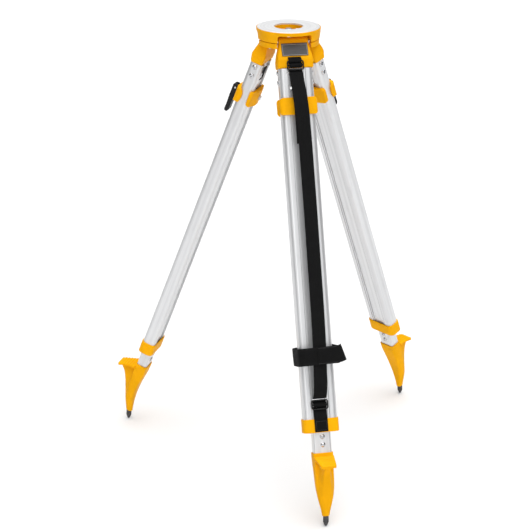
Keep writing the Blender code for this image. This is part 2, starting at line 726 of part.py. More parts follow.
def clamp_inner():
    half, edge = CLAMP_HALF_WIDTH, INNER_FLANGE_EDGE
    outer = [
        (half, -edge),
        (half, -RAIL_DEPTH / 2 - 1 * MM),
        (half - 2 * MM, -RAIL_DEPTH / 2 - INNER_PLATE_SIDE * 0.6),
        (half * 0.25, -INNER_FACE),
    ]
    top, bottom = CLAMP_START - 1 * MM, CLAMP_START + CLAMP_HEIGHT + 1 * MM
    side = [
        (-INNER_FACE - 1 * MM, top),
        (-edge + 1 * MM, top),
        (-edge + 1 * MM, bottom - 8 * MM),
        (-edge - 4 * MM, bottom),
        (-INNER_FACE - 1 * MM, bottom),
    ]
    return clamp_plate("inner_blank", outer, -1, edge, side)


def clamp_bolt():
    """The bolt through both plates and the tube: a nut inside, an eye for the lever's pin outside."""
    nut_top = -INNER_FACE - GAP
    nut_end = nut_top - CLAMP_NUT_HEIGHT
    profile = [
        (0, LEVER_PIN_N),
        (CLAMP_BOLT_RADIUS, LEVER_PIN_N),
        (CLAMP_BOLT_RADIUS, nut_top),
        (CLAMP_NUT_RADIUS, nut_top),
        (CLAMP_NUT_RADIUS, nut_end + 1 * MM),
        (CLAMP_NUT_RADIUS - 1 * MM, nut_end),
        (0, nut_end),
    ]
    shank = turned("bolt_shank", profile, steps=12)
    centre = Vector((0, 0, LEVER_PIN_N))
    eye = rod("bolt_eye", CLAMP_EYE_RADIUS, CLAMP_EYE_HALF * 2, centre, ALONG_T, 16)
    bore = rod("bolt_bore", LEVER_PIN_RADIUS + BORE_GAP, CLAMP_EYE_HALF * 4, centre, ALONG_T, 12)
    mesh = baked(cut(join(shank, eye), bore))
    mesh.transform(Matrix.Translation(leg_point(0, 0, LEVER_PIN_S)) @ ALONG_N)
    return mesh


def lever():
    """The forked cam lever. Its origin is on its pin, and it hangs down over the clamp."""
    outer, cam, length = LEVER_OUTER, LEVER_CAM_RADIUS, LEVER_LENGTH
    turn_in = -math.degrees(math.acos(outer / cam))
    side = arc((0, 0), cam, -210, turn_in, 9) + [
        (outer, length * 0.3),
        (outer - 0.8 * MM, length * 0.72),
        (outer, length * 0.93),
        (outer - 2 * MM, length),
        (-0.5 * MM, length * 0.99),
        (-3.2 * MM, length * 0.9),
        (-3.6 * MM, length * 0.5),
        (-4.4 * MM, length * 0.3),
    ]
    front = mirrored(
        [
            (LEVER_NECK_HALF, -cam * 2),
            (LEVER_NECK_HALF, length * 0.2),
            (LEVER_GRIP_HALF, length * 0.4),
            (LEVER_GRIP_HALF, length * 0.85),
            (LEVER_GRIP_HALF - 3 * MM, length * 1.03),
        ]
    )
    body = side_prism("lever_blank", side, LEVER_GRIP_HALF * 1.5)
    common(body, front_prism("lever_front", front, -RAIL_DEPTH, RAIL_DEPTH))
    bevel(body, 0.8 * MM, angle=40)
    reach = CLAMP_EYE_RADIUS + GAP + 0.15 * MM
    slot_size = ((CLAMP_EYE_HALF + GAP) * 2, cam * 2 + reach, cam * 2 + reach)
    slot = box("lever_slot", slot_size, leg_point(0, reach - slot_size[1] / 2, reach - slot_size[2] / 2))
    bore = rod("lever_bore", LEVER_PIN_RADIUS + BORE_GAP, LEVER_GRIP_HALF * 4, Vector(), ALONG_T, 12)
    return baked(cut(body, slot, bore))


def lever_pin():
    centre = leg_point(0, LEVER_PIN_N, LEVER_PIN_S)
    pin = rod("lever_pin_blank", LEVER_PIN_RADIUS, (LEVER_NECK_HALF + 0.8 * MM) * 2, centre, ALONG_T, 12)
    return baked(bevel(pin, 0.4 * MM, angle=60))


def shoe():
    """The foot casting: socket, tread plate, pocketed gusset and the nose that holds the spike."""
    length = SHOE_LENGTH
    tread = math.tan(LEG_SPLAY)  # the tread is level when the leg stands
    root = SHOE_START + 0.05 * length
    tip = root + (STEP_REACH - SHOE_BACK) * tread
    nose = SPIKE_RADIUS + GAP + NOSE_WALL
    side = [
        (SHOE_BACK, SHOE_START),
        (SHOE_BACK, root),
        (STEP_REACH, tip),
        (STEP_REACH - 2.5 * MM, tip + STEP_THICKNESS),
        (STEP_REACH * 0.74, tip + STEP_THICKNESS * 0.6),
        (STEP_REACH * 0.44, SHOE_START + length * 0.52),
        (SHOE_BACK - 1 * MM, SHOE_START + length * 0.66),
        (SHOE_BACK * 0.6, SHOE_START + length * 0.84),
        (SPIKE_TOP_N + nose, SHOE_END - 1.5 * MM),
        (SPIKE_TOP_N - nose * 0.9, SHOE_END + 1.5 * MM),
        (-SHOE_BACK * 0.74, SHOE_START + length * 0.78),
        (-SHOE_BACK * 0.55, SHOE_START + length * 0.62),
        (-SHOE_BACK * 0.6, SHOE_START + length * 0.45),
        (-SHOE_BACK, SHOE_START + length * 0.12),
        (-SHOE_BACK, SHOE_START),
    ]
    half = SHOE_HALF_WIDTH
    front = mirrored(
        [
            (half, SHOE_START - length),
            (half, SHOE_START + length * 0.2),
            (half * 0.93, SHOE_START + length * 0.42),
            (half * 0.82, SHOE_START + length * 0.58),
            (half * 0.65, SHOE_START + length * 0.76),
            (nose + 1 * MM, SHOE_START + length * 0.93),
            (nose, SHOE_START + length * 1.2),
        ]
    )
    body = side_prism("shoe_blank", side, half * 1.2)
    common(body, front_prism("shoe_front", front, -STEP_REACH, STEP_REACH * 1.5))
    tread_half = half + 1 * MM
    plan = [
        (tread_half, -STEP_REACH),
        (tread_half, SHOE_BACK * 0.5),
        (half - STEP_TAPER, STEP_REACH + 1 * MM),
    ]
    common(body, prism("shoe_plan", [mirrored(plan)], SHOE_START - length, LEG_LENGTH, SECTION))
    bevel(body, 1.6 * MM, angle=40)
    socket = rounded_box(TUBE_WIDTH / 2 + GAP, TUBE_DEPTH / 2 + GAP, TUBE_ROUNDING, 3)
    socket_end = SHOE_START + SHOE_SOCKET_DEPTH
    hole = prism("shoe_socket", [socket], SHOE_START - SHOE_SOCKET_DEPTH, socket_end, SECTION)
    pockets = [shoe_pocket(sign, tip) for sign in (-1, 1)]
    bore = rod("shoe_bore", SPIKE_RADIUS + GAP, (SPIKE_SEAT + GAP) * 2, Vector(), segments=20)
    bore.data.transform(spike_place())
    return baked(cut(body, hole, *pockets, bore))


def shoe_pocket(sign, tip):
    """The hollow in one side of the gusset under the tread."""
    outline = [
        (STEP_REACH * 0.66, tip + STEP_THICKNESS * 0.9),
        (STEP_REACH * 0.29, SHOE_START + SHOE_LENGTH * 0.48),
        (SHOE_BACK - 0.5 * MM, SHOE_START + SHOE_LENGTH * 0.48),
        (SHOE_BACK - 0.5 * MM, SHOE_START + SHOE_LENGTH * 0.21),
    ]
    pocket = side_prism("pocket_blank", outline, POCKET_DEPTH)
    pocket.data.transform(Matrix.Translation((sign * SHOE_HALF_WIDTH, 0, 0)))
    return pocket


def spike_place():
    """The spike's frame: its origin is where it leaves the shoe, and it points to -Z."""
    centre = leg_point(0, SPIKE_TOP_N, SPIKE_TOP_S)
    return Matrix.Translation(centre) @ Matrix.Rotation(SPIKE_LEAN, 4, "X")


def spike():
    profile = [
        (0, SPIKE_SEAT),
        (SPIKE_RADIUS, SPIKE_SEAT),
        (SPIKE_RADIUS, -SPIKE_EXPOSED * 0.55),
        (SPIKE_RADIUS * 0.62, -SPIKE_EXPOSED * 0.86),
        (SPIKE_TIP_RADIUS, -SPIKE_EXPOSED),
        (0, -SPIKE_EXPOSED),
    ]
    mesh = baked(turned("spike_blank", profile, steps=20))
    mesh.transform(spike_place())
    return mesh


# Shoulder strap, on the front leg.


def strap_piece(name, points, half_width=STRAP_HALF_WIDTH, thickness=STRAP_THICKNESS):
    """Webbing along a line of n and s, with its thickness square to the line."""
    outline = []
    for sign in (1, -1):
        edge = []
        for i, here in enumerate(points):
            before = points[max(i - 1, 0)]
            after = points[min(i + 1, len(points) - 1)]
            along = Vector((after[0] - before[0], after[1] - before[1])).normalized()
            square = Vector((along.y, -along.x)) * thickness / 2 * sign
            edge.append((here[0] + square.x, here[1] + square.y))
        outline += edge if sign == 1 else edge[::-1]
    return baked(side_prism(name, outline, half_width))


def strap_anchor():
    start = TOP_BUCKLE_START - 7 * MM
    end = TOP_BUCKLE_START - GAP
    n = TOP_BUCKLE_N
    depth = BUCKLE_THICKNESS
    block = box("anchor_blank", (STRAP_HALF_WIDTH * 2, depth, end - start), leg_point(0, n, (start + end) / 2))
    return baked(bevel(block, 1.5 * MM))


def buckle(name, start, n):
    """A ladder-lock frame: an upper and a lower slot round a middle bar."""
    middle = start + BUCKLE_HEIGHT / 2
    frame = box(name, (BUCKLE_HALF_WIDTH * 2, BUCKLE_THICKNESS, BUCKLE_HEIGHT), leg_point(0, n, middle))
    bevel(frame, 1.4 * MM)
    slot_height = (BUCKLE_HEIGHT - 3 * BUCKLE_BAR) / 2
    slot_size = ((BUCKLE_HALF_WIDTH - 3 * MM) * 2, BUCKLE_THICKNESS * 2, slot_height)
    slots = []
    for sign in (-1, 1):
        centre = leg_point(0, n, middle + sign * (slot_height + BUCKLE_BAR) / 2)
        slots.append(box(f"{name}_slot", slot_size, centre))
    return baked(cut(frame, *slots))


def strap_run():
    start = TOP_BUCKLE_START + BUCKLE_HEIGHT + STRAP_THICKNESS / 2 + GAP
    end = LOWER_BUCKLE_START - STRAP_THICKNESS / 2 - GAP
    near = LEVER_PIN_S - 8 * MM
    points = [
        (TOP_BUCKLE_N, start),
        (TOP_BUCKLE_N + 4 * MM, start + 8 * MM),
        (STRAP_N - 2 * MM, near - 8 * MM),
        (STRAP_N, near),
        (STRAP_N, end - 26 * MM),
        (STRAP_N - 3 * MM, end - 15 * MM),
        (LOWER_BUCKLE_N + 1 * MM, end),
    ]
    return strap_piece("run_blank", points)


def strap_lower():
    start = LOWER_BUCKLE_START + BUCKLE_HEIGHT + GAP
    over = COLLAR_HALF_DEPTH + GAP + STRAP_THICKNESS / 2
    points = [(over, start), (over, COLLAR_END - 1 * MM)]
    return strap_piece("lower_blank", points)


def tie_band():
    """A loose band round the leg and the strap, wide enough for the clamp to pass."""
    inner_half = CLAMP_HALF_WIDTH + 2 * MM
    front = STRAP_N + STRAP_THICKNESS / 2 + 1 * MM
    back = INNER_FACE + CLAMP_NUT_HEIGHT + 2 * MM
    middle = (0, (front - back) / 2)
    half_depth = (front + back) / 2
    inner = rounded_box(inner_half, half_depth, 6 * MM, 3, middle)
    outer = rounded_box(inner_half + TIE_THICKNESS, half_depth + TIE_THICKNESS, 8 * MM, 3, middle)
    return baked(prism("tie_blank", [outer, inner], TIE_START, TIE_START + TIE_HEIGHT, SECTION))


def leg_clip():
    """A small plastic clip on the inner face of the left leg's rail, with a short tail."""
    n = -RAIL_DEPTH / 2 - GAP - CLIP_SIZE.y / 2
    t = RAIL_INNER - LIP_WIDTH
    body = box("clip_blank", CLIP_SIZE, leg_point(t, n, CLIP_START + CLIP_SIZE.z / 2))
    bevel(body, 1.2 * MM)
    tail_centre = leg_point(t - 1 * MM, n, CLIP_START + CLIP_SIZE.z + CLIP_TAIL.z / 2 - 1 * MM)
    return baked(join(body, box("clip_tail", CLIP_TAIL, tail_centre)))


# Assembly.


def empty(name, parent, place=None):
    obj = bpy.data.objects.new(name, None)
    obj.empty_display_size = 20 * MM
    parts.objects.link(obj)
    obj.parent = parent
    if place is not None:
        obj.matrix_local = place
    return obj


def part(name, mesh, finish, parent):
    """A visible sub-part. Copies share one mesh."""
    if not mesh.materials:
        mesh.shade_smooth()
        mesh.set_sharp_from_angle(angle=math.radians(32))
        mesh.materials.append(finish)
    obj = bpy.data.objects.new(name, mesh)
    parts.objects.link(obj)
    obj.parent = parent
    return obj


def add_head(root):
    notches, grooves = head_notches(), pin_grooves()
    part("head_casting", head_casting(notches, grooves), yellow, root)
    part("head_plate", head_plate(), machined, root)
    bearing = bearing_cap(grooves)
    short_bolt = cap_bolt("cap_bolt_blank", BEARING_BOTTOM - GAP)
    pivot_bolt = cap_bolt("pivot_bolt_blank", ARM_BOTTOM - GAP)
    for side, azimuth in lobe_azimuths().items():
        name = {"front": "back", "right": "left", "left": "right"}[side]
        turn = Matrix.Rotation(math.radians(azimuth - 180), 4, "Z")
        part(f"{name}_bearing_cap", bearing, yellow, root).matrix_local = turn
        bolt = pivot_bolt if name == "back" else short_bolt
        place = Matrix.Translation(bolt_place(azimuth))
        part(f"{name}_cap_bolt", bolt, steel, root).matrix_local = place


def add_centre_screw(root):
    arm = empty("swing_arm_pivot", root, Matrix.Translation((0, CAP_BOLT_CIRCLE, 0)))
    part("swing_arm", swing_arm(), yellow, arm)
    carried = empty("screw_lift_axis", arm, Matrix.Translation((0, -CAP_BOLT_CIRCLE, 0)))
    part("screw_washer", screw_washer(), black, carried)
    spin = empty("screw_spin_axis", carried)
    part("centre_screw", centre_screw(), steel, spin)
    part("screw_knob", screw_knob(), black, spin)
    part("plumb_hook", plumb_hook(), steel, spin)


def add_legs(root):
    upper = {
        "leg_cap": (leg_cap(), yellow),
        "rail_1": (rail(-1), aluminium),
        "rail_2": (rail(1), aluminium),
        "collar": (collar(), yellow),
    }
    lower = {
        "lower_leg": (lower_leg(), aluminium),
        "clamp_outer": (clamp_outer(), yellow),
        "clamp_inner": (clamp_inner(), yellow),
        "clamp_bolt": (clamp_bolt(), steel),
        "lever_pin": (lever_pin(), steel),
        "shoe": (shoe(), yellow),
        "spike": (spike(), black),
    }
    pin, arm = hinge_pin(), lever()
    hinges = {}
    for side, azimuth in LEG_AZIMUTHS.items():
        hinge_centre = Vector((0, -HINGE_RADIUS, -HINGE_DROP))
        mount = Matrix.Rotation(math.radians(azimuth), 4, "Z") @ Matrix.Translation(hinge_centre)
        part(f"{side}_hinge_pin", pin, steel, root).matrix_local = mount
        hinge = empty(f"{side}_hinge_axis", root, mount @ Matrix.Rotation(-LEG_SPLAY, 4, "X"))
        slide = empty(f"{side}_slide_axis", hinge)
        pivot_centre = leg_point(0, LEVER_PIN_N, LEVER_PIN_S)
        pivot = empty(f"{side}_lever_axis", slide, Matrix.Translation(pivot_centre))
        for name, (mesh, finish) in upper.items():
            part(f"{side}_{name}", mesh, finish, hinge)
        for name, (mesh, finish) in lower.items():
            part(f"{side}_{name}", mesh, finish, slide)
        part(f"{side}_lever", arm, black, pivot)
        hinges[side] = hinge
    return hinges


def add_strap(hinge):
    part("label_panel", label_panel(), grey, hinge)
    part("strap_anchor", strap_anchor(), webbing, hinge)
    part("top_buckle", buckle("top_buckle_blank", TOP_BUCKLE_START, TOP_BUCKLE_N), black, hinge)
    part("strap_run", strap_run(), webbing, hinge)
    part("lower_buckle", buckle("lower_buckle_blank", LOWER_BUCKLE_START, LOWER_BUCKLE_N), black, hinge)
    part("strap_lower", strap_lower(), webbing, hinge)
    part("tie_band", tie_band(), webbing, hinge)


def stand_on_floor(root):
    """Moves the tripod so that the middle of its bounding box's floor is the origin."""
    bpy.context.view_layer.update()
    corners = [
        obj.matrix_world @ vertex.co
        for obj in parts.objects
        if obj.type == "MESH"
        for vertex in obj.data.vertices
    ]
    low = [min(corner[i] for corner in corners) for i in range(3)]
    high = [max(corner[i] for corner in corners) for i in range(3)]
    root.location -= Vector(((low[0] + high[0]) / 2, (low[1] + high[1]) / 2, low[2]))


clear_scene()
parts = new_collection("surveyor_tripod")
cutters = new_collection("cutters")
yellow = material("yellow_paint", (0.85, 0.40, 0.015), 0.38)
machined = material("machined_aluminium", (0.86, 0.87, 0.88), 0.32, 1.0)
aluminium = material("anodised_aluminium", (0.72, 0.72, 0.74), 0.34, 1.0)
steel = material("bright_steel", (0.62, 0.62, 0.63), 0.25, 1.0)
black = material("black_plastic", (0.015, 0.015, 0.016), 0.45)
grey = material("label_grey", (0.06, 0.06, 0.065), 0.5)
webbing = material("black_webbing", (0.017, 0.017, 0.018), 0.8)

tripod = empty("tripod", None)
add_head(tripod)
add_centre_screw(tripod)
leg_hinges = add_legs(tripod)
add_strap(leg_hinges["front"])
part("leg_clip", leg_clip(), black, leg_hinges["left"])
stand_on_floor(tripod)
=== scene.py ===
"""Looks of the surveyor's tripod: finishes for its castings, rails and steel, and the pieces that
need more shape than their plain solids have: shoes, screws, centre screw, knob and webbing.

Most new pieces are worked out in a leg's own frame: t runs along the hinge, n points outwards
and s runs down the leg, all from the hinge's axis.
"""

import json
import math

import bpy
import numpy as np
from mathutils import Matrix, Vector


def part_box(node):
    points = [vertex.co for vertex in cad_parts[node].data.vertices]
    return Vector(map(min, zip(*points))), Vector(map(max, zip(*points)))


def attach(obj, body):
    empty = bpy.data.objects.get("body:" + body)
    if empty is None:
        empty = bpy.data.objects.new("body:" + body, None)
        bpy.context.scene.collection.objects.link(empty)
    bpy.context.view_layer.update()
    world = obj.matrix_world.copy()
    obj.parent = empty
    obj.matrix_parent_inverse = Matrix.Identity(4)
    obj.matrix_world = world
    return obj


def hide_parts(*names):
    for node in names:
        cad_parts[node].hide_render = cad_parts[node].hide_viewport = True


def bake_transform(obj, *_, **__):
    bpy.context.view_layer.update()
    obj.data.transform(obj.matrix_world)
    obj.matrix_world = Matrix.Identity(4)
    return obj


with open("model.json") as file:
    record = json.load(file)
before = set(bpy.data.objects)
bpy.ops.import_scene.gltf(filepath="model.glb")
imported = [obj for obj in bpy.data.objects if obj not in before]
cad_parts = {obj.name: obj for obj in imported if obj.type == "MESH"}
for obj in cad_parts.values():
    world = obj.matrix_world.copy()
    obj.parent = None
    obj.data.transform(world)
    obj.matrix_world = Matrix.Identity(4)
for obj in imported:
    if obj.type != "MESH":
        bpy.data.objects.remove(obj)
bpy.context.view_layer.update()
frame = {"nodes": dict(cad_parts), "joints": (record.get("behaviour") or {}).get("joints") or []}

MM = 0.001
NODES = frame["nodes"]
JOINTS = {joint["name"]: joint for joint in frame["joints"]}
SIDES = ("front", "right", "left")
AXES = np.eye(3)

# Sizes shared with the part, in metres.
RAIL_OUTER = 36.8 * MM
RAIL_DEPTH = 30 * MM
TUBE_WIDTH = 39 * MM
TUBE_DEPTH = 24.6 * MM
CAP_LENGTH = 58 * MM
SHOE_START = 879.33 * MM
SHOE_LENGTH = 138 * MM
SHOE_HALF_WIDTH = 21.75 * MM
SHOE_BACK = 14.55 * MM
SHOE_SOCKET = 25 * MM
STEP_REACH = 56.65 * MM
STEP_THICKNESS = 7 * MM
LEG_SPLAY = math.radians(21)
SCREW_ROWS = (66.5 * MM, 87.5 * MM)  # along the leg: screws in the rails' outer faces
BOLT_ROWS = (845 * MM, 862 * MM)  # along the leg: bolts above the shoe
STRAP_HALF_WIDTH = 15 * MM
STRAP_THICKNESS = 2 * MM
BUCKLE_HALF_WIDTH = 18.5 * MM
BUCKLE_HEIGHT = 22 * MM
BUCKLE_THICKNESS = 4.8 * MM
TOP_BUCKLE = (42 * MM, 20.85 * MM)  # start along the leg, and middle outwards
LOWER_BUCKLE = (764.33 * MM, 20.65 * MM)
TIE_START = 652.33 * MM
TIE_HEIGHT = 38 * MM
THREAD_PITCH = 25.4 / 11 * MM
STRAP_SWAY = -2.2 * MM  # the strap's middle, off the leg's middle, at both buckles
STRAP_ENDS = (60 * MM, 771 * MM)  # down the leg
STRAP_CUTS = (175 * MM, 596 * MM)  # where the strap's middle piece starts and ends
TIE_TILT = 0.03  # rise of the tie band for each unit across the leg


# Surfaces.


def unit(vector):
    """A vector divided by its own length."""
    return np.asarray(vector, float) / np.linalg.norm(vector)


class Leg:
    """One leg's frame at rest, from its two main joints."""

    def __init__(self, side):
        spread, extend = JOINTS[f"{side}_leg_spread"], JOINTS[f"{side}_leg_extend"]
        self.origin = np.array(spread["pos_m"])
        self.t = -unit(spread["axis"])
        self.s = unit(extend["axis"])
        self.n = np.cross(self.s, self.t)

    def place(self, points):
        """Points of t, n and s carried into the model: the hinge plus each length along its axis."""
        return self.origin + points @ np.array((self.t, self.n, self.s))


LEGS = {side: Leg(side) for side in SIDES}


def fair(knots, values, at):
    """A smooth line through values at knots: on each span a cubic that leaves and arrives with the
    slope between its neighbours."""
    knots, values, at = np.asarray(knots, float), np.asarray(values, float), np.asarray(at, float)
    slopes = np.gradient(values, knots, axis=0)
    i = np.clip(np.searchsorted(knots, at) - 1, 0, len(knots) - 2)
    width = knots[i + 1] - knots[i]
    x = np.clip((at - knots[i]) / width, 0, 1)
    if values.ndim > 1:
        x, width = x[:, None], width[:, None]
    start, end = values[i], values[i + 1]
    rise = 3 * x**2 - 2 * x**3
    lean = (x**3 - 2 * x**2 + x) * slopes[i] + (x**3 - x**2) * slopes[i + 1]
    return start + (end - start) * rise + lean * width


def smooth(low, high, at):
    """A rise from 0 at low to 1 at high, level at both ends: three squares less two cubes of the
    share of the way."""
    x = np.clip((at - low) / (high - low), 0, 1)
    return x * x * (3 - 2 * x)


def skin(rings, closed=False, weave=None):
    """A closed shell over rings of points: each ring is joined to the next, point by point, and an
    open row of rings is closed by a fan at each end. The faces are turned to point outwards."""
    rows, around = rings.shape[:2]
    points = rings.reshape(-1, 3)
    index = np.arange(rows * around).reshape(rows, around)
    lower = index if closed else index[:-1]
    upper = np.roll(index, -1, 0) if closed else index[1:]
    quads = np.stack((lower, np.roll(lower, -1, 1), np.roll(upper, -1, 1), upper), -1).reshape(-1, 4)
    fans = np.zeros((0, 3), int)
    weave = points if weave is None else weave.reshape(-1, 3)
    if not closed:
        middles = rings[[0, -1]].mean(1)
        hubs = len(points) + np.arange(2)
        first, last = index[0], index[-1]
        start = np.stack((np.roll(first, -1), first, np.full(around, hubs[0])), -1)
        end = np.stack((last, np.roll(last, -1), np.full(around, hubs[1])), -1)
        fans = np.concatenate((start, end))
        weave = np.concatenate((weave, weave[[first[0], last[0]]]))
        points = np.concatenate((points, middles))
    triangles = np.concatenate((quads[:, :3], quads[:, (0, 2, 3)], fans))
    a, b, c = (points[triangles[:, i]] - points.mean(0) for i in range(3))
    if np.einsum("ij,ij->i", a, np.cross(b, c)).sum() < 0:
        quads, fans = quads[:, ::-1], fans[:, ::-1]
    return points, quads, fans, weave


def piece(name, shells, finish, body=None, replaces=(), place=None, smooth_angle=40):
    """One object from closed shells, given as points, four-sided and three-sided faces."""
    points, faces, weave, count = [], [], [], 0
    for shell, quads, fans, marks in shells:
        points.append(shell)
        weave.append(marks)
        faces += (quads + count).tolist() + (fans + count).tolist()
        count += len(shell)
    points = np.concatenate(points)
    if place is not None:
        points = place(points)
    mesh = bpy.data.meshes.new(name)
    mesh.from_pydata(points.tolist(), [], faces)
    marks = mesh.attributes.new("weave", "FLOAT_VECTOR", "POINT")
    marks.data.foreach_set("vector", np.concatenate(weave).astype(np.float32).ravel())
    mesh.shade_smooth()
    mesh.set_sharp_from_angle(angle=math.radians(smooth_angle))
    mesh.materials.append(finish)
    obj = bpy.data.objects.new(name, mesh)
    bpy.context.scene.collection.objects.link(obj)
    if body:
        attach(obj, body)
    if replaces:
        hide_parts(*replaces)
    return obj


def round_section(half_x, half_y, count=20, fullness=6.0):
    """A flat section with rounded ends: both half sizes times a circle raised to a low power, so
    that its sides run nearly straight."""
    angle = np.arange(count) / count * math.tau
    power = 2 / fullness
    x = np.sign(np.cos(angle)) * np.abs(np.cos(angle)) ** power
    y = np.sign(np.sin(angle)) * np.abs(np.sin(angle)) ** power
    return half_x * x, half_y * y


def carried(path, across, half_width, thickness, closed=False, count=20, fullness=6.0):
    """A flat section carried along a path. At each point the section lies along the across
    direction and square to it and to the path, and its marks count width and length."""
    if closed:
        along = np.roll(path, -1, 0) - np.roll(path, 1, 0)
    else:
        along = np.gradient(path, axis=0)
    along /= np.linalg.norm(along, axis=1)[:, None]
    across = np.broadcast_to(across, path.shape)
    across = across - np.einsum("ij,ij->i", across, along)[:, None] * along
    across = across / np.linalg.norm(across, axis=1)[:, None]
    out = np.cross(along, across)
    x, y = round_section(half_width, thickness / 2, count, fullness)
    rings = path[:, None] + across[:, None] * x[:, None] + out[:, None] * y[:, None]
    steps = np.linalg.norm(np.diff(path, axis=0), axis=1)
    length = np.concatenate(([0], np.cumsum(steps)))
    marks = np.zeros(rings.shape)
    marks[..., 0] = x
    marks[..., 1] = length[:, None]
    marks[..., 2] = y
    return skin(rings, closed, marks)


def turned(profile, around=32, shape=None):
    """A profile of radius and height carried round an axis. A shape, where one is given, scales
    the radius by the angle."""
    profile = np.asarray(profile, float)
    angle = np.arange(around) / around * math.tau
    radius = np.repeat(profile[:, :1], around, 1)
    if shape is not None:
        radius = radius * shape(angle)
    height = np.repeat(profile[:, 1:], around, 1)
    return np.stack((radius * np.cos(angle), radius * np.sin(angle), height), -1)


def facing(points, centre, axis, start=AXES[2]):
    """Turned points whose height is carried along the axis, from the centre."""
    axis = unit(axis)
    side = unit(np.cross(np.cross(axis, start), axis))
    return np.asarray(centre) + points @ np.array((side, np.cross(axis, side), axis))


# Shader maths.


class Value:
    """A shader's value. Arithmetic on it adds the nodes that work it out."""

    def __init__(self, finish, socket):
        self.finish = finish
        self.socket = socket

    def maths(self, operation, *others):
        """A Math node over this value and the others, in their order."""
        inputs = dict(enumerate((self, *others)))
        return self.finish.add("ShaderNodeMath", {"operation": operation}, inputs)

    def __add__(self, other):
        return self.maths("ADD", other)

    __radd__ = __add__

    def __mul__(self, other):
        return self.maths("MULTIPLY", other)

    __rmul__ = __mul__

    def __sub__(self, other):
        return self.maths("SUBTRACT", other)

    def __rsub__(self, other):
        return self.maths("MULTIPLY_ADD", -1.0, other)

    def __abs__(self):
        return self.maths("ABSOLUTE")

    def __gt__(self, limit):
        return self.maths("GREATER_THAN", limit)

    def wave(self):
        """The value's sine."""
        return self.maths("SINE")

    def most(self, other):
        """The larger of two values."""
        return self.maths("MAXIMUM", other)


class Finish:
    """A material: constant values on its shader, and nodes for what changes over the surface."""

    def __init__(self, name, colour, roughness, metallic=0.0, **constants):
        self.material = bpy.data.materials.new(name)
        self.material.use_nodes = True
        self.tree = self.material.node_tree
        self.shader = self.tree.nodes["Principled BSDF"]
        self.colour = (*colour, 1)
        self.shader.inputs["Base Color"].default_value = self.colour
        self.shader.inputs["Roughness"].default_value = roughness
        self.shader.inputs["Metallic"].default_value = metallic
        for socket, value in constants.items():
            self.shader.inputs[socket.replace("_", " ").title()].default_value = value
        self.place = self.add("ShaderNodeTexCoord", {}, {}, "Object")

    def add(self, kind, settings, inputs, output=0):
        """A node of a kind, with its settings made first and then its inputs' values or links."""
        node = self.tree.nodes.new(kind)
        for name, value in settings.items():
            setattr(node, name, value)
        for key, value in inputs.items():
            if isinstance(value, Value):
                self.tree.links.new(value.socket, node.inputs[key])
            else:
                node.inputs[key].default_value = value
        return Value(self, node.outputs[output])

    def dot(self, where, direction, offset=0.0):
        """How far a place lies along a direction, less an offset."""
        inputs = {0: where, 1: tuple(direction)}
        return self.add("ShaderNodeVectorMath", {"operation": "DOT_PRODUCT"}, inputs, "Value") - offset

    def joined(self, x, y, z):
        """Three values joined into one place."""
        return self.add("ShaderNodeCombineXYZ", {}, {0: x, 1: y, 2: z})

    def noise(self, where, scale, detail=2.0, roughness=0.5):
        """Soft noise over a place times a scale."""
        inputs = {"Vector": where, "Scale": scale, "Detail": detail, "Roughness": roughness}
        return self.add("ShaderNodeTexNoise", {}, inputs, "Fac")

    def between(self, value, low, high, first=0.0, last=1.0):
        """The value's place from low to high, carried smoothly to first and last."""
        inputs = {"Value": value, "From Min": low, "From Max": high, "To Min": first, "To Max": last}
        return self.add("ShaderNodeMapRange", {"interpolation_type": "SMOOTHSTEP"}, inputs)

    def mixed(self, share, first, second):
        """A colour between two others."""
        first = first if isinstance(first, Value) else (*first[:3], 1)
        second = second if isinstance(second, Value) else (*second[:3], 1)
        settings = {"data_type": "RGBA"}
        return self.add("ShaderNodeMix", settings, {0: share, 6: first, 7: second}, 2)

    def feeds(self, **sockets):
        """Each value linked to the shader's socket of that name."""
        for name, value in sockets.items():
            self.tree.links.new(value.socket, self.shader.inputs[name.replace("_", " ").title()])

    def relief(self, height, distance, strength=1.0):
        """A bump whose depth is a height times a distance."""
        inputs = {"Strength": strength, "Distance": distance, "Height": height}
        self.feeds(normal=self.add("ShaderNodeBump", {}, inputs))

    def leg_place(self, leg):
        """The place in a leg's frame: its t, n and s, in metres."""
        return [self.dot(self.place, axis, float(axis @ leg.origin)) for axis in (leg.t, leg.n, leg.s)]


def shade(colour, times):
    """A colour with each of its parts times a number, up to 1."""
    return tuple(min(c * times, 1) for c in colour)


def coated(name, colour):
    """The start of a powder coat: its sheen is low, so that grazing faces keep their colour."""
    made = Finish(name, colour, 0.42, coat_weight=0.01, coat_roughness=0.3)
    made.shader.inputs["IOR"].default_value = 1.1
    made.shader.inputs["Specular IOR Level"].default_value = 0.4
    return made


def coat_wear(made, colour, scuff_place):
    """Orange peel, slight clouding, scuffs that dull the coat, and a few small chips down to a
    darker primer. Gives the coat's colour, roughness and height."""
    peel = made.noise(made.place, 900, 2, 0.6)
    clouds = made.noise(made.place, 28, 3, 0.6)
    scuffed = made.between(made.noise(scuff_place, 1, 4, 0.7), 0.6, 0.75)
    chips = made.between(made.noise(made.place, 210, 3, 0.75), 0.735, 0.76)
    tone = made.mixed(made.between(clouds, 0.3, 0.7), shade(colour, 0.93), shade(colour, 1.05))
    tone = made.mixed(scuffed * 0.16, tone, shade(colour, 0.72))
    tone = made.mixed(chips * 0.55, tone, shade(colour, 0.3))
    return tone, 0.34 + scuffed * 0.18 + clouds * 0.12, peel * 0.5 - chips


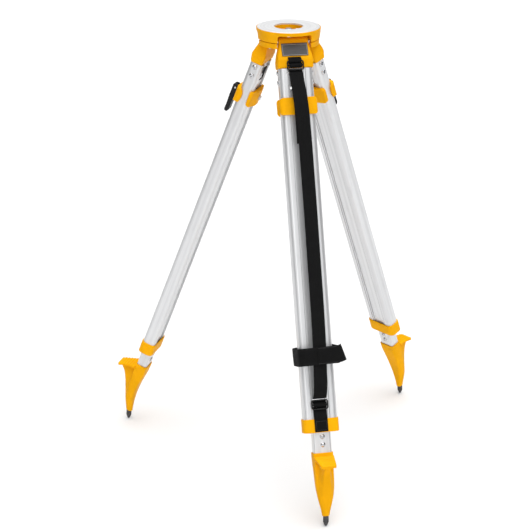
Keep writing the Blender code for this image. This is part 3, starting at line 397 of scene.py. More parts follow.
def powder_coat(name, colour):
    """Textured powder coat on a casting, its scuffs stretched along three skewed directions."""
    made = coated(name, colour)
    directions = ((310, 60, 20), (-40, 280, 50), (20, -60, 90))
    scuff_place = made.joined(*(made.dot(made.place, direction) for direction in directions))
    tone, rough, height = coat_wear(made, colour, scuff_place)
    made.feeds(base_color=tone, roughness=rough)
    made.relief(height, 0.12 * MM, 0.35)
    return made.material


def bare_tongue(name, colour, leg):
    """The cap's powder coat, masked off where its tongue slides into the rails: below the cap's
    end the metal is bare, with the sawn grain of the bar."""
    made = coated(name, colour)
    t, n, s = made.leg_place(leg)
    bare = made.between(s, CAP_LENGTH + 0.1 * MM, CAP_LENGTH + 0.3 * MM)
    paint, rough, height = coat_wear(made, colour, made.joined(t * 200, n * 260, s * 110))
    grain = made.noise(made.joined(t * 700, n * 700, s * 60), 1, 3, 0.6)
    metal = made.mixed(grain, (0.5, 0.505, 0.52), (0.68, 0.685, 0.7))
    made.feeds(base_color=made.mixed(bare, paint, metal), roughness=rough, metallic=bare * 0.8)
    made.relief(height, 0.12 * MM, 0.35)
    return made.material


def drawn_aluminium(name, leg):
    """Satin aluminium drawn through a die: fine lines down the leg, faint long bands, and a few
    rubbed places where the sliding tube and hands have polished or dulled it."""
    made = Finish(name, (0.69, 0.695, 0.705), 0.36, 0.65)
    t, n, s = made.leg_place(leg)
    lines = made.noise(made.joined(t * 1500, n * 1500, s * 6), 1, 3, 0.65)
    bands = made.noise(made.joined(t * 130, n * 130, s * 1.5), 1, 2, 0.5)
    rubs = made.between(made.noise(made.joined(t * 60, n * 60, s * 14), 1, 4, 0.65), 0.55, 0.75)
    tone = made.mixed(made.between(bands, 0.3, 0.7), (0.65, 0.655, 0.665), (0.76, 0.765, 0.775))
    tone = made.mixed(made.between(lines, 0.35, 0.7) * 0.3, tone, (0.58, 0.585, 0.595))
    tone = made.mixed(rubs * 0.22, tone, (0.53, 0.535, 0.545))
    # Painted shade: a dark line along the seam where each rail steps to its lip, standing in for the shade
    # that falls in that narrow groove.
    seam_shade = made.between(abs(abs(t) - 19.5 * MM), 0.35 * MM, 0.55 * MM, 1.0, 0.0) * (abs(n) > 13.9 * MM)
    tone = made.mixed(seam_shade * 0.7, tone, (0.1, 0.1, 0.105))
    made.feeds(base_color=tone, roughness=0.3 + lines * 0.14 + rubs * 0.14)
    made.relief(lines, 0.05 * MM, 0.3)
    return made.material


def machined_face(name, centre):
    """A faced disc: rings of fine tool marks round the tripod's axis, faint stains and scratches."""
    made = Finish(name, (0.62, 0.625, 0.635), 0.3, 0.35)
    x = made.dot(made.place, AXES[0], centre[0])
    y = made.dot(made.place, AXES[1], centre[1])
    radius = (x * x + y * y).maths("SQRT")
    marks = made.noise(made.joined(radius * 2600, 0.0, 0.0), 1, 2, 0.5)
    broad = made.noise(made.joined(radius * 320, x * 6, y * 6), 1, 2, 0.5)
    stains = made.noise(made.place, 45, 4, 0.65)
    tone = made.mixed(made.between(broad, 0.35, 0.7), (0.76, 0.765, 0.77), (0.86, 0.865, 0.87))
    tone = made.mixed(made.between(stains, 0.58, 0.75) * 0.3, tone, (0.4, 0.41, 0.42))
    made.feeds(base_color=tone, roughness=0.22 + marks * 0.16 + stains * 0.12)
    made.relief(marks, 0.05 * MM, 0.35)
    return made.material


def plated_steel(name, colour, roughness, grain=700.0):
    """Plated or blackened steel: fine turning marks, with clouding and dull spots."""
    made = Finish(name, colour, roughness, 0.95)
    fine = made.noise(made.place, grain, 2, 0.6)
    clouds = made.noise(made.place, 120, 3, 0.6)
    spots = made.between(made.noise(made.place, 420, 3, 0.7), 0.62, 0.72)
    tone = made.mixed(made.between(clouds, 0.3, 0.7), shade(colour, 0.8), shade(colour, 1.15))
    tone = made.mixed(spots * 0.4, tone, shade(colour, 0.5))
    made.feeds(base_color=tone, roughness=roughness + fine * 0.12 + spots * 0.2)
    made.relief(fine, 0.04 * MM, 0.3)
    return made.material


def black_plastic(name, colour=(0.009, 0.009, 0.0095), roughness=0.38):
    """Moulded nylon: a spark-eroded grain, flow marks, and paler rubbed places."""
    made = Finish(name, colour, roughness)
    made.shader.inputs["Specular IOR Level"].default_value = 0.22
    grain = made.noise(made.place, 1300, 2, 0.55)
    flow = made.noise(made.place, 70, 3, 0.6)
    rubbed = made.between(made.noise(made.place, 190, 4, 0.7), 0.58, 0.74)
    tone = made.mixed(made.between(flow, 0.3, 0.7), shade(colour, 0.8), shade(colour, 1.35))
    tone = made.mixed(rubbed * 0.4, tone, shade(colour, 2.6))
    made.feeds(base_color=tone, roughness=roughness - 0.06 + grain * 0.14 + rubbed * 0.1)
    made.relief(grain, 0.06 * MM, 0.45)
    return made.material


def woven(name, colour=(0.0052, 0.0052, 0.0054)):
    """Heavy nylon webbing. The marks hold the place across and along the strap: ribs run across it
    every 1.3 mm, split into herringbone columns, with a firmer edge and a little grey fuzz."""
    made = Finish(name, colour, 0.72)
    made.shader.inputs["Specular IOR Level"].default_value = 0.1
    marks = made.add("ShaderNodeAttribute", {"attribute_name": "weave"}, {}, "Vector")
    across = made.dot(marks, AXES[0])
    along = made.dot(marks, AXES[1])
    columns = (across * (math.tau / (3.4 * MM))).wave()
    slant = abs(columns) * 1.6
    ribs = (along * (math.tau / (1.3 * MM)) + slant).wave()
    threads = (across * (math.tau / (0.9 * MM))).wave()
    edge = made.between(abs(across), 12.6 * MM, 13.4 * MM)
    height = ribs * 0.5 + threads * 0.22 * (1 - edge) + edge * 0.5 + columns * 0.15
    fuzz = made.noise(marks, 900, 3, 0.7)
    wear = made.between(made.noise(marks, 60, 3, 0.6), 0.45, 0.75)
    # Painted shade and highlight: the colour follows the weave's height, darker in the hollows between ribs
    # and threads and lighter on the raised ribs and the firmer edge.
    tone = made.mixed(made.between(height, -0.7, 0.9), shade(colour, 0.55), shade(colour, 1.55))
    tone = made.mixed(wear * 0.3, tone, shade(colour, 1.8))
    tone = made.mixed(made.between(fuzz, 0.62, 0.8) * 0.2, tone, shade(colour, 3.5))
    made.feeds(base_color=tone, roughness=0.66 + fuzz * 0.2)
    made.relief(height + fuzz * 0.3, 0.28 * MM, 0.8)
    return made.material


def thread_finish(name):
    """Bonded thread: a fine twist along each stitch."""
    made = Finish(name, (0.03, 0.03, 0.032), 0.55)
    twist = made.noise(made.place, 1700, 2, 0.5)
    tone = made.mixed(twist, (0.018, 0.018, 0.019), (0.05, 0.05, 0.052))
    made.feeds(base_color=tone, roughness=0.45 + twist * 0.25)
    made.relief(twist, 0.08 * MM, 0.6)
    return made.material


def label_finish(name, leg, middle):
    """A blank plate of dark grey sheet: a pale printed line just inside its edge, brushed grain."""
    made = Finish(name, (0.062, 0.06, 0.062), 0.45)
    t, n, s = made.leg_place(leg)
    up = s - float(middle)
    inset = (abs(t) - 28.5 * MM).most(abs(up) - 13.4 * MM)
    inside = made.between(inset, -2.6 * MM, -2.3 * MM)
    line = inside * made.between(inset, -1.5 * MM, -1.2 * MM, 1.0, 0.0)
    grain = made.noise(made.joined(t * 90, n * 90, up * 1900), 1, 2, 0.5)
    dust = made.noise(made.place, 260, 3, 0.7)
    tone = made.mixed(made.between(grain, 0.3, 0.7), (0.036, 0.035, 0.036), (0.058, 0.056, 0.058))
    tone = made.mixed(line * 0.75, tone, (0.3, 0.29, 0.27))
    tone = made.mixed(made.between(dust, 0.66, 0.8) * 0.3, tone, (0.2, 0.2, 0.2))
    made.feeds(base_color=tone, roughness=0.38 + grain * 0.16 + dust * 0.1)
    made.relief(grain + line * 0.8, 0.05 * MM, 0.4)
    return made.material


YELLOW = (0.89, 0.41, 0.004)
yellow = powder_coat("yellow_powder_coat", YELLOW)
rails = {side: drawn_aluminium(f"drawn_aluminium_{side}", LEGS[side]) for side in SIDES}
caps = {side: bare_tongue(f"cap_powder_coat_{side}", YELLOW, LEGS[side]) for side in SIDES}
plate_low, plate_high = (np.array(corner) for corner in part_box("head_plate"))
head_middle = (plate_low + plate_high) / 2
head_top = plate_high[2]
faced = machined_face("faced_aluminium", head_middle)
bright = plated_steel("bright_steel", (0.58, 0.585, 0.6), 0.2)
dark_steel = plated_steel("blackened_steel", (0.085, 0.083, 0.085), 0.4)
plastic = black_plastic("black_nylon")
gloss_plastic = black_plastic("black_buckle_nylon", (0.01, 0.01, 0.0105), 0.26)
webbing = woven("black_webbing")
thread = thread_finish("black_thread")
label = label_finish("label_sheet", LEGS["front"], 19.3 * MM)


def refinish(node, finish):
    """Puts a finish on a CAD node in place of its plain material."""
    obj = NODES[node]
    if not obj.data.materials:
        obj.data.materials.append(finish)
    for material_slot in obj.material_slots:
        material_slot.material = finish


yellow_nodes = ["head_casting", "swing_arm"]
yellow_nodes += [f"{side}_bearing_cap" for side in ("back", "left", "right")]
leg_castings = ("collar", "clamp_outer", "clamp_inner")
yellow_nodes += [f"{side}_{name}" for side in SIDES for name in leg_castings]
steel_nodes = ["plumb_hook"]
steel_nodes += [f"{side}_cap_bolt" for side in ("back", "left", "right")]
steel_nodes += [f"{side}_{name}" for side in SIDES for name in ("hinge_pin", "clamp_bolt", "lever_pin")]
for node in yellow_nodes:
    refinish(node, yellow)
for node in steel_nodes:
    refinish(node, bright)
for side in SIDES:
    for name in ("rail_1", "rail_2", "lower_leg"):
        refinish(f"{side}_{name}", rails[side])
    refinish(f"{side}_leg_cap", caps[side])
    refinish(f"{side}_spike", dark_steel)
    refinish(f"{side}_lever", plastic)
refinish("head_plate", faced)
refinish("screw_washer", plastic)
refinish("leg_clip", plastic)
refinish("label_panel", label)


# Shoes.


def shoe_body():
    """The socket and the leaf-shaped nose. Each ring lies across the leg: its width, front and back
    follow fair lines down the shoe, its corners go from square at the socket to round at the
    spike, and the front is raised in the middle into the rib that carries the tread. The rings
    start on the socket's floor, climb its inner wall, turn over the rim and run down outside."""
    share = (0, 0.06, 0.18, 0.3, 0.42, 0.55, 0.68, 0.8, 0.9, 1)
    width = np.array((21.75, 21.75, 21.3, 20.9, 20.6, 19.8, 17.2, 13.7, 10.3, 7.85)) * MM
    front = np.array((14.55, 14.55, 14.55, 14.2, 13.8, 13.2, 12, 9.4, 5.4, 0.25)) * MM
    back = np.array((-14.55, -14.55, -13.6, -11.6, -9.6, -8.5, -8.7, -10.4, -12.8, -15.4)) * MM
    square = (9, 9, 8, 6, 5, 4, 3.4, 2.8, 2.3, 2)
    rib = np.array((0, 0, 33, 23.5, 15.5, 9, 4, 1.2, 0.3, 0)) * MM
    rows = np.concatenate(([0, 0.004, 0.012], np.linspace(0.03, 0.985, 84), [0.993, 1.0]))
    shape = fair(share, np.stack((width, front, back, square, rib), 1), rows)
    rim = np.array((0.5, 0.15, 0)) * MM
    shape[:3, 0] -= rim
    shape[:3, 1] -= rim
    shape[:3, 2] += rim
    shape[-1, 0] -= 0.8 * MM
    shape[-1, 1] -= 0.8 * MM
    shape[-1, 2] += 0.8 * MM
    shape[:, 4] *= smooth(0.085, 0.11, rows)
    gap = 0.35 * MM
    wall = (TUBE_WIDTH / 2 + gap, TUBE_DEPTH / 2 + gap, -TUBE_DEPTH / 2 - gap, 9, 0)
    inner = np.array([wall] * 2)
    shape = np.concatenate((inner, shape))
    s = np.concatenate(([SHOE_SOCKET, 0.3 * MM], rows * SHOE_LENGTH)) + SHOE_START
    turn = np.linspace(-1, 1, 57)
    f = np.sin(turn * math.pi / 2)
    f = np.sin(f * math.pi / 2)
    sides = np.concatenate(([0, 0], rows))[:, None]
    core = np.interp(sides, (0.1, 0.35, 0.6, 1), (5 * MM, 5.6 * MM, 6.5 * MM, 5 * MM))
    edge = np.interp(sides, (0.1, 0.3, 0.5, 0.75, 1), (12 * MM, 15 * MM, 19 * MM, 16 * MM, 8 * MM))
    w, front_n, back_n, p, rib_n = (shape[:, i : i + 1] for i in range(5))
    raised = np.clip(rib_n / (6 * MM), 0, 1)
    t = f * w
    bound = np.minimum(edge, w * 0.97)
    inner = bound * np.abs(turn) / 0.7
    outer = bound + (w - bound) * (np.abs(turn) - 0.7) / 0.3
    spread = np.sign(turn) * np.where(np.abs(turn) < 0.7, inner, outer)
    t = t + (spread - t) * raised
    t[:, [0, -1]] = np.concatenate((-w, w), 1)
    middle = (front_n + back_n) / 2
    level = np.clip(1 - np.abs(t / w) ** p, 0, 1) ** (1 / p)
    side = 1 - smooth(core, bound, np.abs(t))
    n = middle + (front_n - middle) * level + rib_n * side
    back_f = f[::-1][1:-1]
    back_t = back_f * w
    back_level = np.clip(1 - np.abs(back_f) ** p, 0, 1) ** (1 / p)
    back_line = middle + (back_n - middle) * back_level
    t, n = np.concatenate((t, back_t), 1), np.concatenate((n, back_line), 1)
    return skin(np.stack((t, n, np.repeat(s[:, None], t.shape[1], 1)), -1))


def shoe_tread():
    """The tread for the boot: a plate that runs out level from the socket. Its sections across
    narrow towards the lip and thicken into it, and five low ribs cross its top."""
    out = np.concatenate((
        np.linspace(SHOE_BACK - 1.2 * MM, STEP_REACH - 1.2 * MM, 88),
        STEP_REACH - np.array((0.7, 0.3, 0.08, 0)) * MM,
    ))
    slope = math.tan(LEG_SPLAY)
    root = SHOE_START + 0.05 * SHOE_LENGTH
    root_half, lip_half = SHOE_HALF_WIDTH + 0.4 * MM, SHOE_HALF_WIDTH - 5.2 * MM
    half = np.interp(out, (SHOE_BACK, STEP_REACH), (root_half, lip_half))
    places = (SHOE_BACK, 30 * MM, 50 * MM, STEP_REACH)
    thick = np.interp(out, places, (9 * MM, 5.2 * MM, 5.6 * MM, STEP_THICKNESS))
    lip = STEP_REACH - np.array((1.3, 0.7, 0.3, 0.08, 0)) * MM
    round_off = np.interp(out, lip, (0, 0.12, 0.4, 0.9, 1.2))
    half = half - round_off * MM
    top = root + (out - SHOE_BACK) * slope + round_off * MM
    bottom = top + thick - round_off * 2 * MM
    x, y = round_section(1.0, 0.5, 48, 9)
    ridge = np.clip(np.cos((out - 22 * MM) / (6.6 * MM) * math.tau), 0, 1) ** 0.7
    ridge *= smooth(19 * MM, 21 * MM, out) * (1 - smooth(51 * MM, 52.5 * MM, out))
    inset = smooth(1.0, 0.9, np.abs(x)) * (y < -0.3)
    t = half[:, None] * x
    lean = 3.0 * MM * smooth(38 * MM, STEP_REACH, out)
    n = out[:, None] - lean[:, None] * (y + 0.5)
    s = (top + bottom)[:, None] / 2 + (bottom - top)[:, None] * y - 1.5 * MM * ridge[:, None] * inset
    return skin(np.stack((t, n, s), -1))


shoe_shells = [shoe_body(), shoe_tread()]
for side, leg in LEGS.items():
    piece(
        f"{side}_shoe_casting",
        shoe_shells,
        yellow,
        f"{side}_lower_leg",
        [f"{side}_shoe"],
        leg.place,
    )


# Screws and bolts.


def hexagon(angle):
    """How far a hexagon's side lies from its middle at an angle, with its corners at 1."""
    return math.cos(math.radians(30)) / np.cos((angle % math.radians(60)) - math.radians(30))


def dome_screw(radius, height, place, axis):
    """A button head with a hexagon socket: a dome turned round its axis, and a recess whose radius
    follows the sides of a hexagon."""
    socket = radius * 0.46
    dome = [(radius * 0.96, -0.3 * MM), (radius, 0.05 * MM), (radius, height * 0.22)]
    curve = ((0.96, 0.42), (0.86, 0.66), (0.7, 0.86), (0.56, 0.97))
    dome += [(radius * r, height * h) for r, h in curve]
    walls = ((1.06, 1), (1, 0.93), (1, 0.35), (0.2, 0.2))
    recess = [(socket * r, height * h) for r, h in walls]
    rows = np.concatenate((turned(dome, 36), turned(recess, 36, hexagon)))
    return skin(facing(rows, place, axis))


def flat_washer(radius, thickness, place, axis):
    """A washer: a disc turned round its axis, with both edges bevelled. The screw's head hides the
    hole, so it has none."""
    profile = [(radius - 0.2 * MM, 0), (radius, 0.2 * MM)]
    profile += [(radius, thickness - 0.2 * MM), (radius - 0.3 * MM, thickness)]
    return skin(facing(turned(profile, 32), place, axis))


def washered(spot, axis, washer, head):
    """A screw on its washer. Both are given as radius and thickness or height."""
    raised = spot + axis * washer[1]
    return [flat_washer(*washer, spot, axis), dome_screw(*head, raised, axis)]


for side, leg in LEGS.items():
    screws = []
    for sign in (-1, 1):
        for s in SCREW_ROWS:
            spot = np.array((sign * RAIL_OUTER, 0.5 * MM, s))
            screws.append(dome_screw(5.7 * MM, 3.2 * MM, spot, AXES[0] * sign))
        for n_sign in (-1, 1):
            # The front leg has no screw at this place.
            if side == "front" and sign == 1 and n_sign == 1:
                continue
            spot = np.array((sign * 17.8 * MM, n_sign * RAIL_DEPTH / 2, 67 * MM))
            screws += washered(spot, AXES[1] * n_sign, (3.6 * MM, 0.5 * MM), (3 * MM, 1.8 * MM))
    piece(f"{side}_cap_screws", screws, bright, f"{side}_upper_leg", (), leg.place)
    bolts = []
    for n_sign in (-1, 1):
        for s in BOLT_ROWS:
            spot = np.array((0, n_sign * TUBE_DEPTH / 2, s))
            bolts += washered(spot, AXES[1] * n_sign, (5.6 * MM, 0.7 * MM), (4.6 * MM, 2.4 * MM))
    piece(f"{side}_shoe_bolts", bolts, bright, f"{side}_lower_leg", (), leg.place)


# Centre screw and its knob.


def threaded_screw():
    """The fixing screw. Its surface is a radius over angle and height: over the threaded lengths a
    ridge of triangular section climbs one pitch for each turn, and it fades out at both ends.
    A plain flange stands where the screw rests on the arm."""
    around, step = 40, 0.23
    height = np.concatenate((
        np.arange(-66.6, -41.9, step),
        [-41.8, -41.7, -36.0, -35.9],
        np.arange(-35.7, -5.0, step),
        [-5.0],
    )) * MM
    angle = np.arange(around) / around * math.tau
    turn = (height[:, None] / THREAD_PITCH - angle / math.tau) % 1
    ridge = np.abs(turn * 2 - 1)
    fade = smooth(-5 * MM, -7.5 * MM, height) * (height > -35.8 * MM)
    radius = 7.9 * MM - 1.15 * MM * ridge * fade[:, None]
    taper = smooth(-6.4 * MM, -5 * MM, height) * 1.5 * MM
    radius = radius - taper[:, None]
    x, y = radius * np.cos(angle), radius * np.sin(angle)
    z = np.repeat(height[:, None], around, 1)
    body = skin(np.stack((x, y, z), -1))
    profile = ((8.2, -37.2), (10.6, -37.2), (11, -36.8), (11, -34.7), (10.5, -34.2), (7.6, -34.2))
    return body, np.array(profile) * MM


def gripped_knob():
    """The knob: a barrel turned round the screw's axis, with twelve shallow flutes that fade out
    towards its rounded ends."""
    low, high = -90.05 * MM, -62.05 * MM
    around, flute_count = 144, 12
    sides = np.linspace(0.12, 0.88, 28)
    share = np.concatenate(([0, 0.012, 0.04, 0.08], sides, [0.92, 0.96, 0.988, 1]))
    angle = np.arange(around) / around * math.tau
    radii = np.array((11.6, 13.3, 14.6, 15, 15, 14.4, 12.6, 11)) * MM
    barrel = fair((0, 0.04, 0.14, 0.3, 0.7, 0.86, 0.96, 1), radii, share)
    flutes = np.clip(np.cos(angle * flute_count), 0, 1) ** 0.8
    depth = 1.15 * MM * smooth(0.05, 0.2, share) * (1 - smooth(0.8, 0.95, share))
    radius = barrel[:, None] - depth[:, None] * flutes
    z = np.repeat((low + (high - low) * share)[:, None], around, 1)
    outside = np.stack((radius * np.cos(angle), radius * np.sin(angle), z), -1)
    mouth = turned(np.array(((9.2, -62.05), (8.6, -62.5), (8.4, -79.5), (2, -79.9))) * MM, around)
    return skin(np.concatenate((outside, mouth)))


def on_axis(points):
    """Points moved from the origin to the middle of the head's top."""
    return points + np.array((head_middle[0], head_middle[1], head_top))


screw_shell, flange_profile = threaded_screw()
flange = skin(turned(flange_profile, 48))
piece(
    "threaded_screw",
    [screw_shell, flange],
    bright,
    "screw",
    ["centre_screw"],
    on_axis,
    25,
)
piece("fluted_knob", [gripped_knob()], plastic, "screw", ["screw_knob"], on_axis)


# Shoulder strap.

front = LEGS["front"]


def strap_line(s):
    """The strap's middle at a length down the leg: it wanders a little to each side, and stands
    off the rails so that it clears the closed lever."""
    knots = np.array((  # length down the leg, sway to the side, distance outwards
        (60, -2.2, 17.1), (64, -2.2, 17.6), (70, -2.1, 23.4), (78, -2, 26.6), (100, -1.1, 33.4),
        (124, -0.2, 40.0), (134, 0.1, 41.8), (202, 2.2, 42.2), (300, 2.8, 41.8), (480, 2.6, 41.6),
        (633, 1.6, 42), (700, -0.8, 42), (737, -2.4, 40.4), (750, -2.6, 36.0), (759, -2.4, 27.6),
        (765, -2.2, 18.6), (771, -2.2, 17),
    )) * MM
    return np.concatenate((fair(knots[:, 0], knots[:, 1:], s), s[:, None]), 1)


def ripple(path, depth, seed):
    """Slow bends in and out, so that the webbing does not lie dead flat: two sine waves down the
    leg, which fade out towards both buckles."""
    s = path[:, 2]
    wave = np.sin(s / (61 * MM) + seed) + 0.6 * np.sin(s / (27 * MM) + seed * 2.3)
    hold = smooth(75 * MM, 140 * MM, s) * (1 - smooth(700 * MM, 745 * MM, s))
    path[:, 1] += depth * wave * hold
    return path


def strip(path):
    """A length of strap, flat across the leg."""
    return carried(path, AXES[0], STRAP_HALF_WIDTH - 0.4 * MM, STRAP_THICKNESS * 0.85)


def front_webbing(name, shells, body="front_upper_leg", replaces=()):
    """A piece of webbing on the front leg."""
    return piece(name, shells, webbing, body, replaces, front.place)


# Three pieces make up the strap. Each one starts with the last point of the one before.
upper = np.linspace(STRAP_ENDS[0], STRAP_CUTS[0], 72)
middle = np.linspace(*STRAP_CUTS, 100)[1:]
lower = np.linspace(STRAP_CUTS[1], STRAP_ENDS[1], 130)[1:]
strap_path = ripple(strap_line(np.concatenate((upper, middle, lower))), 0.35 * MM, 0.7)
cuts = (len(upper), len(upper) + len(middle))
strap_spans = {
    "upper": strap_path[: cuts[0]],
    "middle": strap_path[cuts[0] - 1 : cuts[1]],
    "lower": strap_path[cuts[1] - 1 :],
}
tail_start, tail_end = 68 * MM, 221 * MM
tail_path = ripple(strap_line(np.linspace(tail_start, tail_end, 80)), 0.35 * MM, 0.7)
tail_path[:, 1] -= np.interp(tail_path[:, 2], (tail_start, 90 * MM), (1.9 * MM, 2.2 * MM))
tail_path[:, 0] -= np.interp(tail_path[:, 2], (tail_start, tail_end), (0.2 * MM, 3.2 * MM))
strap_spans["tail"] = tail_path
strap_pieces = {
    name: front_webbing(f"shoulder_strap_{name}", [strip(path)], None)
    for name, path in strap_spans.items()
}


def on_leg(s, n=42 * MM):
    """The place on the front leg at a length down it and a distance outwards."""
    return tuple(front.place(np.array((0, n, s))))


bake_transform(strap_pieces["upper"], "front_upper_leg", "strap", start=on_leg(68 * MM), end=on_leg(122 * MM))
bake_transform(strap_pieces["tail"], "front_upper_leg", "strap", start=on_leg(68 * MM), end=on_leg(122 * MM))
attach(strap_pieces["middle"], "strap")
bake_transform(strap_pieces["lower"], "front_upper_leg", "strap", start=on_leg(690 * MM), end=on_leg(600 * MM))
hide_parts("strap_run")


def buckle_frame(start, n, sway):
    """A ladder-lock frame: a rounded section carried round a rounded rectangle, and a middle bar."""
    angle = np.arange(96) / 96 * math.tau
    bar = 2.7 * MM
    half_t, half_s = BUCKLE_HALF_WIDTH - bar / 2, BUCKLE_HEIGHT / 2 - bar / 2
    x = half_t * np.sign(np.cos(angle)) * np.abs(np.cos(angle)) ** 0.28
    z = half_s * np.sign(np.sin(angle)) * np.abs(np.sin(angle)) ** 0.28
    middle = start + BUCKLE_HEIGHT / 2
    arch = 0.5 * MM * (1 - (x / half_t) ** 2)
    ring = np.stack((x + sway, n + arch, middle + z), 1)
    frame_shell = carried(ring, AXES[1], BUCKLE_THICKNESS / 2, bar, True, 16, 3.2)
    across = np.linspace(-half_t, half_t, 24)
    line = np.stack((across + sway, np.full(24, n - 0.2 * MM), np.full(24, middle)), 1)
    return [frame_shell, carried(line, AXES[1], 1.7 * MM, 3.0 * MM, False, 16, 2.6)]


def fold(sway, knots, half_width=STRAP_HALF_WIDTH - 0.6 * MM, count=40):
    """A short length of webbing laid over a bar: a flat section carried along the fair line through
    points of n and s."""
    knots = np.array(knots) * MM
    share = np.arange(len(knots), dtype=float)
    line = fair(share, knots, np.linspace(0, share[-1], count))
    path = np.stack((np.full(count, sway), line[:, 0], line[:, 1]), 1)
    return carried(path, AXES[0], half_width, STRAP_THICKNESS * 0.8)


for name, (start, n) in {"top_buckle": TOP_BUCKLE, "lower_buckle": LOWER_BUCKLE}.items():
    piece(
        f"{name}_frame",
        buckle_frame(start, n, STRAP_SWAY),
        gloss_plastic,
        "front_upper_leg",
        [name],
        front.place,
    )
# Painted highlight: a bright steel bar laid just in front of the lower buckle's top bar, standing in for the
# line of light along that bar's upper edge.
bar_t = np.concatenate(([-17.4, -17.2, -16.8], np.linspace(-16, 16, 12), [16.8, 17.2, 17.4])) * MM
bar_line = np.stack((bar_t + STRAP_SWAY, np.full(18, 24.6 * MM), np.full(18, 763.2 * MM)), 1)
highlight_bar = carried(bar_line, AXES[1], 1.1 * MM, 2.2 * MM, False, 16, 2.2)
piece(
    "lower_buckle_highlight_bar",
    [highlight_bar],
    bright,
    "front_upper_leg",
    (),
    front.place,
)
anchor_fold = fold(STRAP_SWAY - 1 * MM, (
    (19.3, 35.4), (20.2, 37.6), (23, 40.2), (25, 43.2), (24.2, 46), (20.4, 47.6), (19.2, 47.9),
))
front_webbing("strap_anchor_fold", [anchor_fold], replaces=["strap_anchor"])
top_fold = fold(STRAP_SWAY, (
    (19.4, 48.6), (21, 49), (24, 50.6), (25, 53), (24, 55.4), (20.8, 57.2), (18.9, 57.6),
))
lower_fold = fold(STRAP_SWAY, (
    (19.2, 770.73), (21, 771.23), (23.8, 772.93), (24.8, 775.33), (23.8, 777.73), (20.6, 779.53),
    (18.9, 780.13),
))
front_webbing("buckle_webbing_folds", [top_fold, lower_fold])


def lower_strap():
    """The strap's last length: out from under the lower buckle, over the collar, to a folded hem."""
    knots = np.array((
        (17.2, 781), (17.3, 785), (18.6, 791), (19.1, 800), (19.3, 812), (19.3, 826), (19.2, 833.6),
    )) * MM
    line = fair(np.arange(7.0), knots, np.linspace(0, 6, 60))
    path = np.stack((np.linspace(STRAP_SWAY, -1.4 * MM, 60), line[:, 0], line[:, 1]), 1)
    hem = np.array(((20.9, 808), (21.05, 820), (21.0, 832.6))) * MM
    hem = fair(np.arange(3.0), hem, np.linspace(0, 2, 16))
    hem_path = np.stack((np.linspace(-1.8 * MM, -1.4 * MM, 16), hem[:, 0], hem[:, 1]), 1)
    return [strip(path), carried(hem_path, AXES[0], STRAP_HALF_WIDTH - 0.9 * MM, 1.3 * MM)]


front_webbing("strap_lower_end", lower_strap(), replaces=["strap_lower"])


def stitches(starts, along, out, length=2.3 * MM, radius=0.34 * MM):
    """Short threads: each a round section carried over a low arch between two needle holes."""
    share = np.linspace(0, 1, 5)
    section = np.arange(6) / 6 * math.tau
    shells = []
    for start in starts:
        arch = np.outer(np.sin(share * math.pi) * radius, out)
        path = np.asarray(start) + np.outer(share * length, along) + arch
        side = np.cross(along, out)
        ring = np.cos(section)[:, None] * side + np.sin(section)[:, None] * np.asarray(out)
        shells.append(skin(path[:, None] + radius * ring))
    return shells


def box_stitch(t_low, t_high, n, s_low, s_high, pitch=3.1 * MM):
    """A box of stitches: two rows across the strap and two rows along it."""
    rows = []
    for s in (s_low, s_high):
        starts = [(t, n, s) for t in np.arange(t_low, t_high - pitch / 2, pitch)]
        rows += stitches(starts, AXES[0], AXES[1])
    for t in (t_low, t_high):
        starts = [(t, n, s) for s in np.arange(s_low, s_high - pitch / 2, pitch)]
        rows += stitches(starts, AXES[2], AXES[1])
    return rows


hem_stitches = box_stitch(-12.6 * MM, 9.8 * MM, 21.7 * MM, 811 * MM, 830 * MM)
piece("hem_stitching", hem_stitches, thread, "front_upper_leg", (), front.place)


# Tie band.


def tie_path(count=160):
    """The band's line round the leg and the strap: a rounded rectangle that dips a little on its
    long sides and tilts up towards the right."""
    angle = np.arange(count) / count * math.tau + math.pi / 4
    half_t, n_low, n_high = 44.4 * MM, -32.2 * MM, 45 * MM
    x = np.sign(np.cos(angle)) * np.abs(np.cos(angle)) ** 0.3
    y = np.sign(np.sin(angle)) * np.abs(np.sin(angle)) ** 0.3
    middle, half_n = (n_low + n_high) / 2, (n_high - n_low) / 2
    t = half_t * x - 0.5 * MM * np.sin(angle * 3)
    n = middle + half_n * y
    s = TIE_START + TIE_HEIGHT / 2 - TIE_TILT * t + 0.8 * MM * np.sin(angle * 2 + 0.6)
    return np.stack((t, n, s), 1)


def tie_shells():
    """The band and its loose end, which laps over the front and stands off past the corner."""
    ring = tie_path()
    lean = np.array((TIE_TILT, 0, 1.0))
    band = carried(ring, lean, TIE_HEIGHT / 2 - 0.3 * MM, 1.8 * MM, True)
    knots = np.array((
        (-4, 46.9, 671.2), (12, 47.0, 670.8), (28, 47.0, 670.4), (38, 47.1, 669.6), (44, 46.6, 668.6),
        (49, 44.6, 667.2), (52.4, 41.6, 666),
    )) * MM
    line = fair(np.arange(7.0), knots, np.linspace(0, 6, 60))
    tip = smooth(0.55, 1, np.linspace(0, 1, 60))[:, None]
    lean = lean + tip * np.array((0.22, 0.02, 0))
    flap = carried(line, lean, TIE_HEIGHT / 2 - 0.6 * MM, 1.7 * MM)
    return [band, flap]


front_webbing("tie_band_loop", tie_shells(), replaces=["tie_band"])
tie_rows = []
for s in (654.6, 687.2):
    places = np.arange(-3 * MM, 36 * MM, 3.1 * MM)
    starts = [(t, 48.0 * MM, s * MM - TIE_TILT * t) for t in places]
    tie_rows += stitches(starts, unit((1, 0, -TIE_TILT)), AXES[1])
piece("tie_stitching", tie_rows, thread, "front_upper_leg", (), front.place)


# Floor, light and camera.


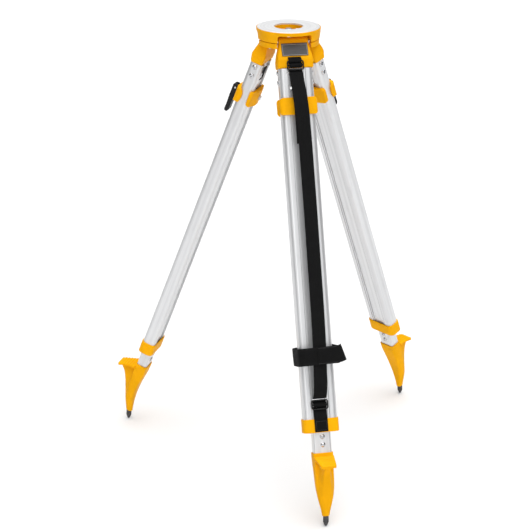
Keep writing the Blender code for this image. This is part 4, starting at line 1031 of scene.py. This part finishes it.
def floor():
    """A pale square floor, half a millimetre under the feet."""
    mesh = bpy.data.meshes.new("floor")
    reach = 14.0
    corners = [(-reach, -reach, 0), (reach, -reach, 0), (reach, reach, 0), (-reach, reach, 0)]
    mesh.from_pydata(corners, [], [(0, 1, 2, 3)])
    made = Finish("pale_floor", (0.86, 0.86, 0.86), 0.7)
    made.shader.inputs["Specular IOR Level"].default_value = 0.1
    mesh.materials.append(made.material)
    obj = bpy.data.objects.new("floor", mesh)
    obj.location.z = -0.5 * MM
    bpy.context.scene.collection.objects.link(obj)


def studio_light(name, strength, angle, towards):
    """A sun whose light runs towards a direction, made soft by its angle."""
    lamp = bpy.data.lights.new(name, "SUN")
    lamp.energy = strength
    lamp.angle = math.radians(angle)
    obj = bpy.data.objects.new(name, lamp)
    obj.rotation_euler = Vector(towards).to_track_quat("-Z", "Y").to_euler()
    bpy.context.scene.collection.objects.link(obj)


def surroundings():
    """A white room with dark panels at both sides: its brightness falls off with the size of a
    direction's dot product with the horizontal line across the view."""
    world = bpy.data.worlds.new("studio")
    bpy.context.scene.world = world
    world.use_nodes = True
    nodes, links = world.node_tree.nodes, world.node_tree.links
    place = nodes.new("ShaderNodeTexCoord")
    slope = nodes.new("ShaderNodeVectorMath")
    slope.operation = "DOT_PRODUCT"
    slope.inputs[1].default_value = (0.974, -0.227, 0)
    links.new(place.outputs["Generated"], slope.inputs[0])
    aside = nodes.new("ShaderNodeMath")
    aside.operation = "ABSOLUTE"
    links.new(slope.outputs["Value"], aside.inputs[0])
    ramp = nodes.new("ShaderNodeMapRange")
    ramp.inputs["From Min"].default_value = 0.1
    ramp.inputs["From Max"].default_value = 0.75
    ramp.inputs["To Min"].default_value = 0.55
    ramp.inputs["To Max"].default_value = 0.04
    links.new(aside.outputs["Value"], ramp.inputs["Value"])
    background = nodes["Background"]
    background.inputs["Color"].default_value = (1, 1, 1, 1)
    links.new(ramp.outputs["Result"], background.inputs["Strength"])


def camera():
    """The camera: it stands back from the tripod's axis and up from the floor, looks ahead with a
    tilt, a pan and a roll, and is then turned round that axis by its heading."""
    standing_height = 1.0
    distance, height = 3.358, 1.7434
    tilt, pan, roll = math.radians(21.087), math.radians(-0.824), math.radians(0.256)
    heading = math.radians(-13.11)
    turn = Matrix.Rotation(heading, 4, "Z")
    ahead = Vector((math.sin(pan) * math.cos(tilt), math.cos(pan) * math.cos(tilt), -math.sin(tilt)))
    right = ahead.cross(Vector((0, 0, 1))).normalized()
    up = right.cross(ahead)
    x_axis = right * math.cos(roll) + up * math.sin(roll)
    y_axis = up * math.cos(roll) - right * math.sin(roll)
    stand = Matrix((x_axis, y_axis, -ahead)).transposed().to_4x4()
    stand.translation = Vector((0, -distance, height))
    data = bpy.data.cameras.new("camera")
    data.sensor_width = 36
    data.lens = 107.34
    obj = bpy.data.objects.new("camera", data)
    foot = (head_middle[0], head_middle[1], head_top - standing_height)
    obj.matrix_world = Matrix.Translation(foot) @ turn @ stand
    bpy.context.scene.collection.objects.link(obj)
    bpy.context.scene.camera = obj


floor()
surroundings()
studio_light("overhead", 3.2, 70, (-0.08, 0.12, -1))
studio_light("key", 0.65, 50, (0.12, 0.93, -0.4))
camera()
bpy.context.scene.view_settings.view_transform = "Standard"
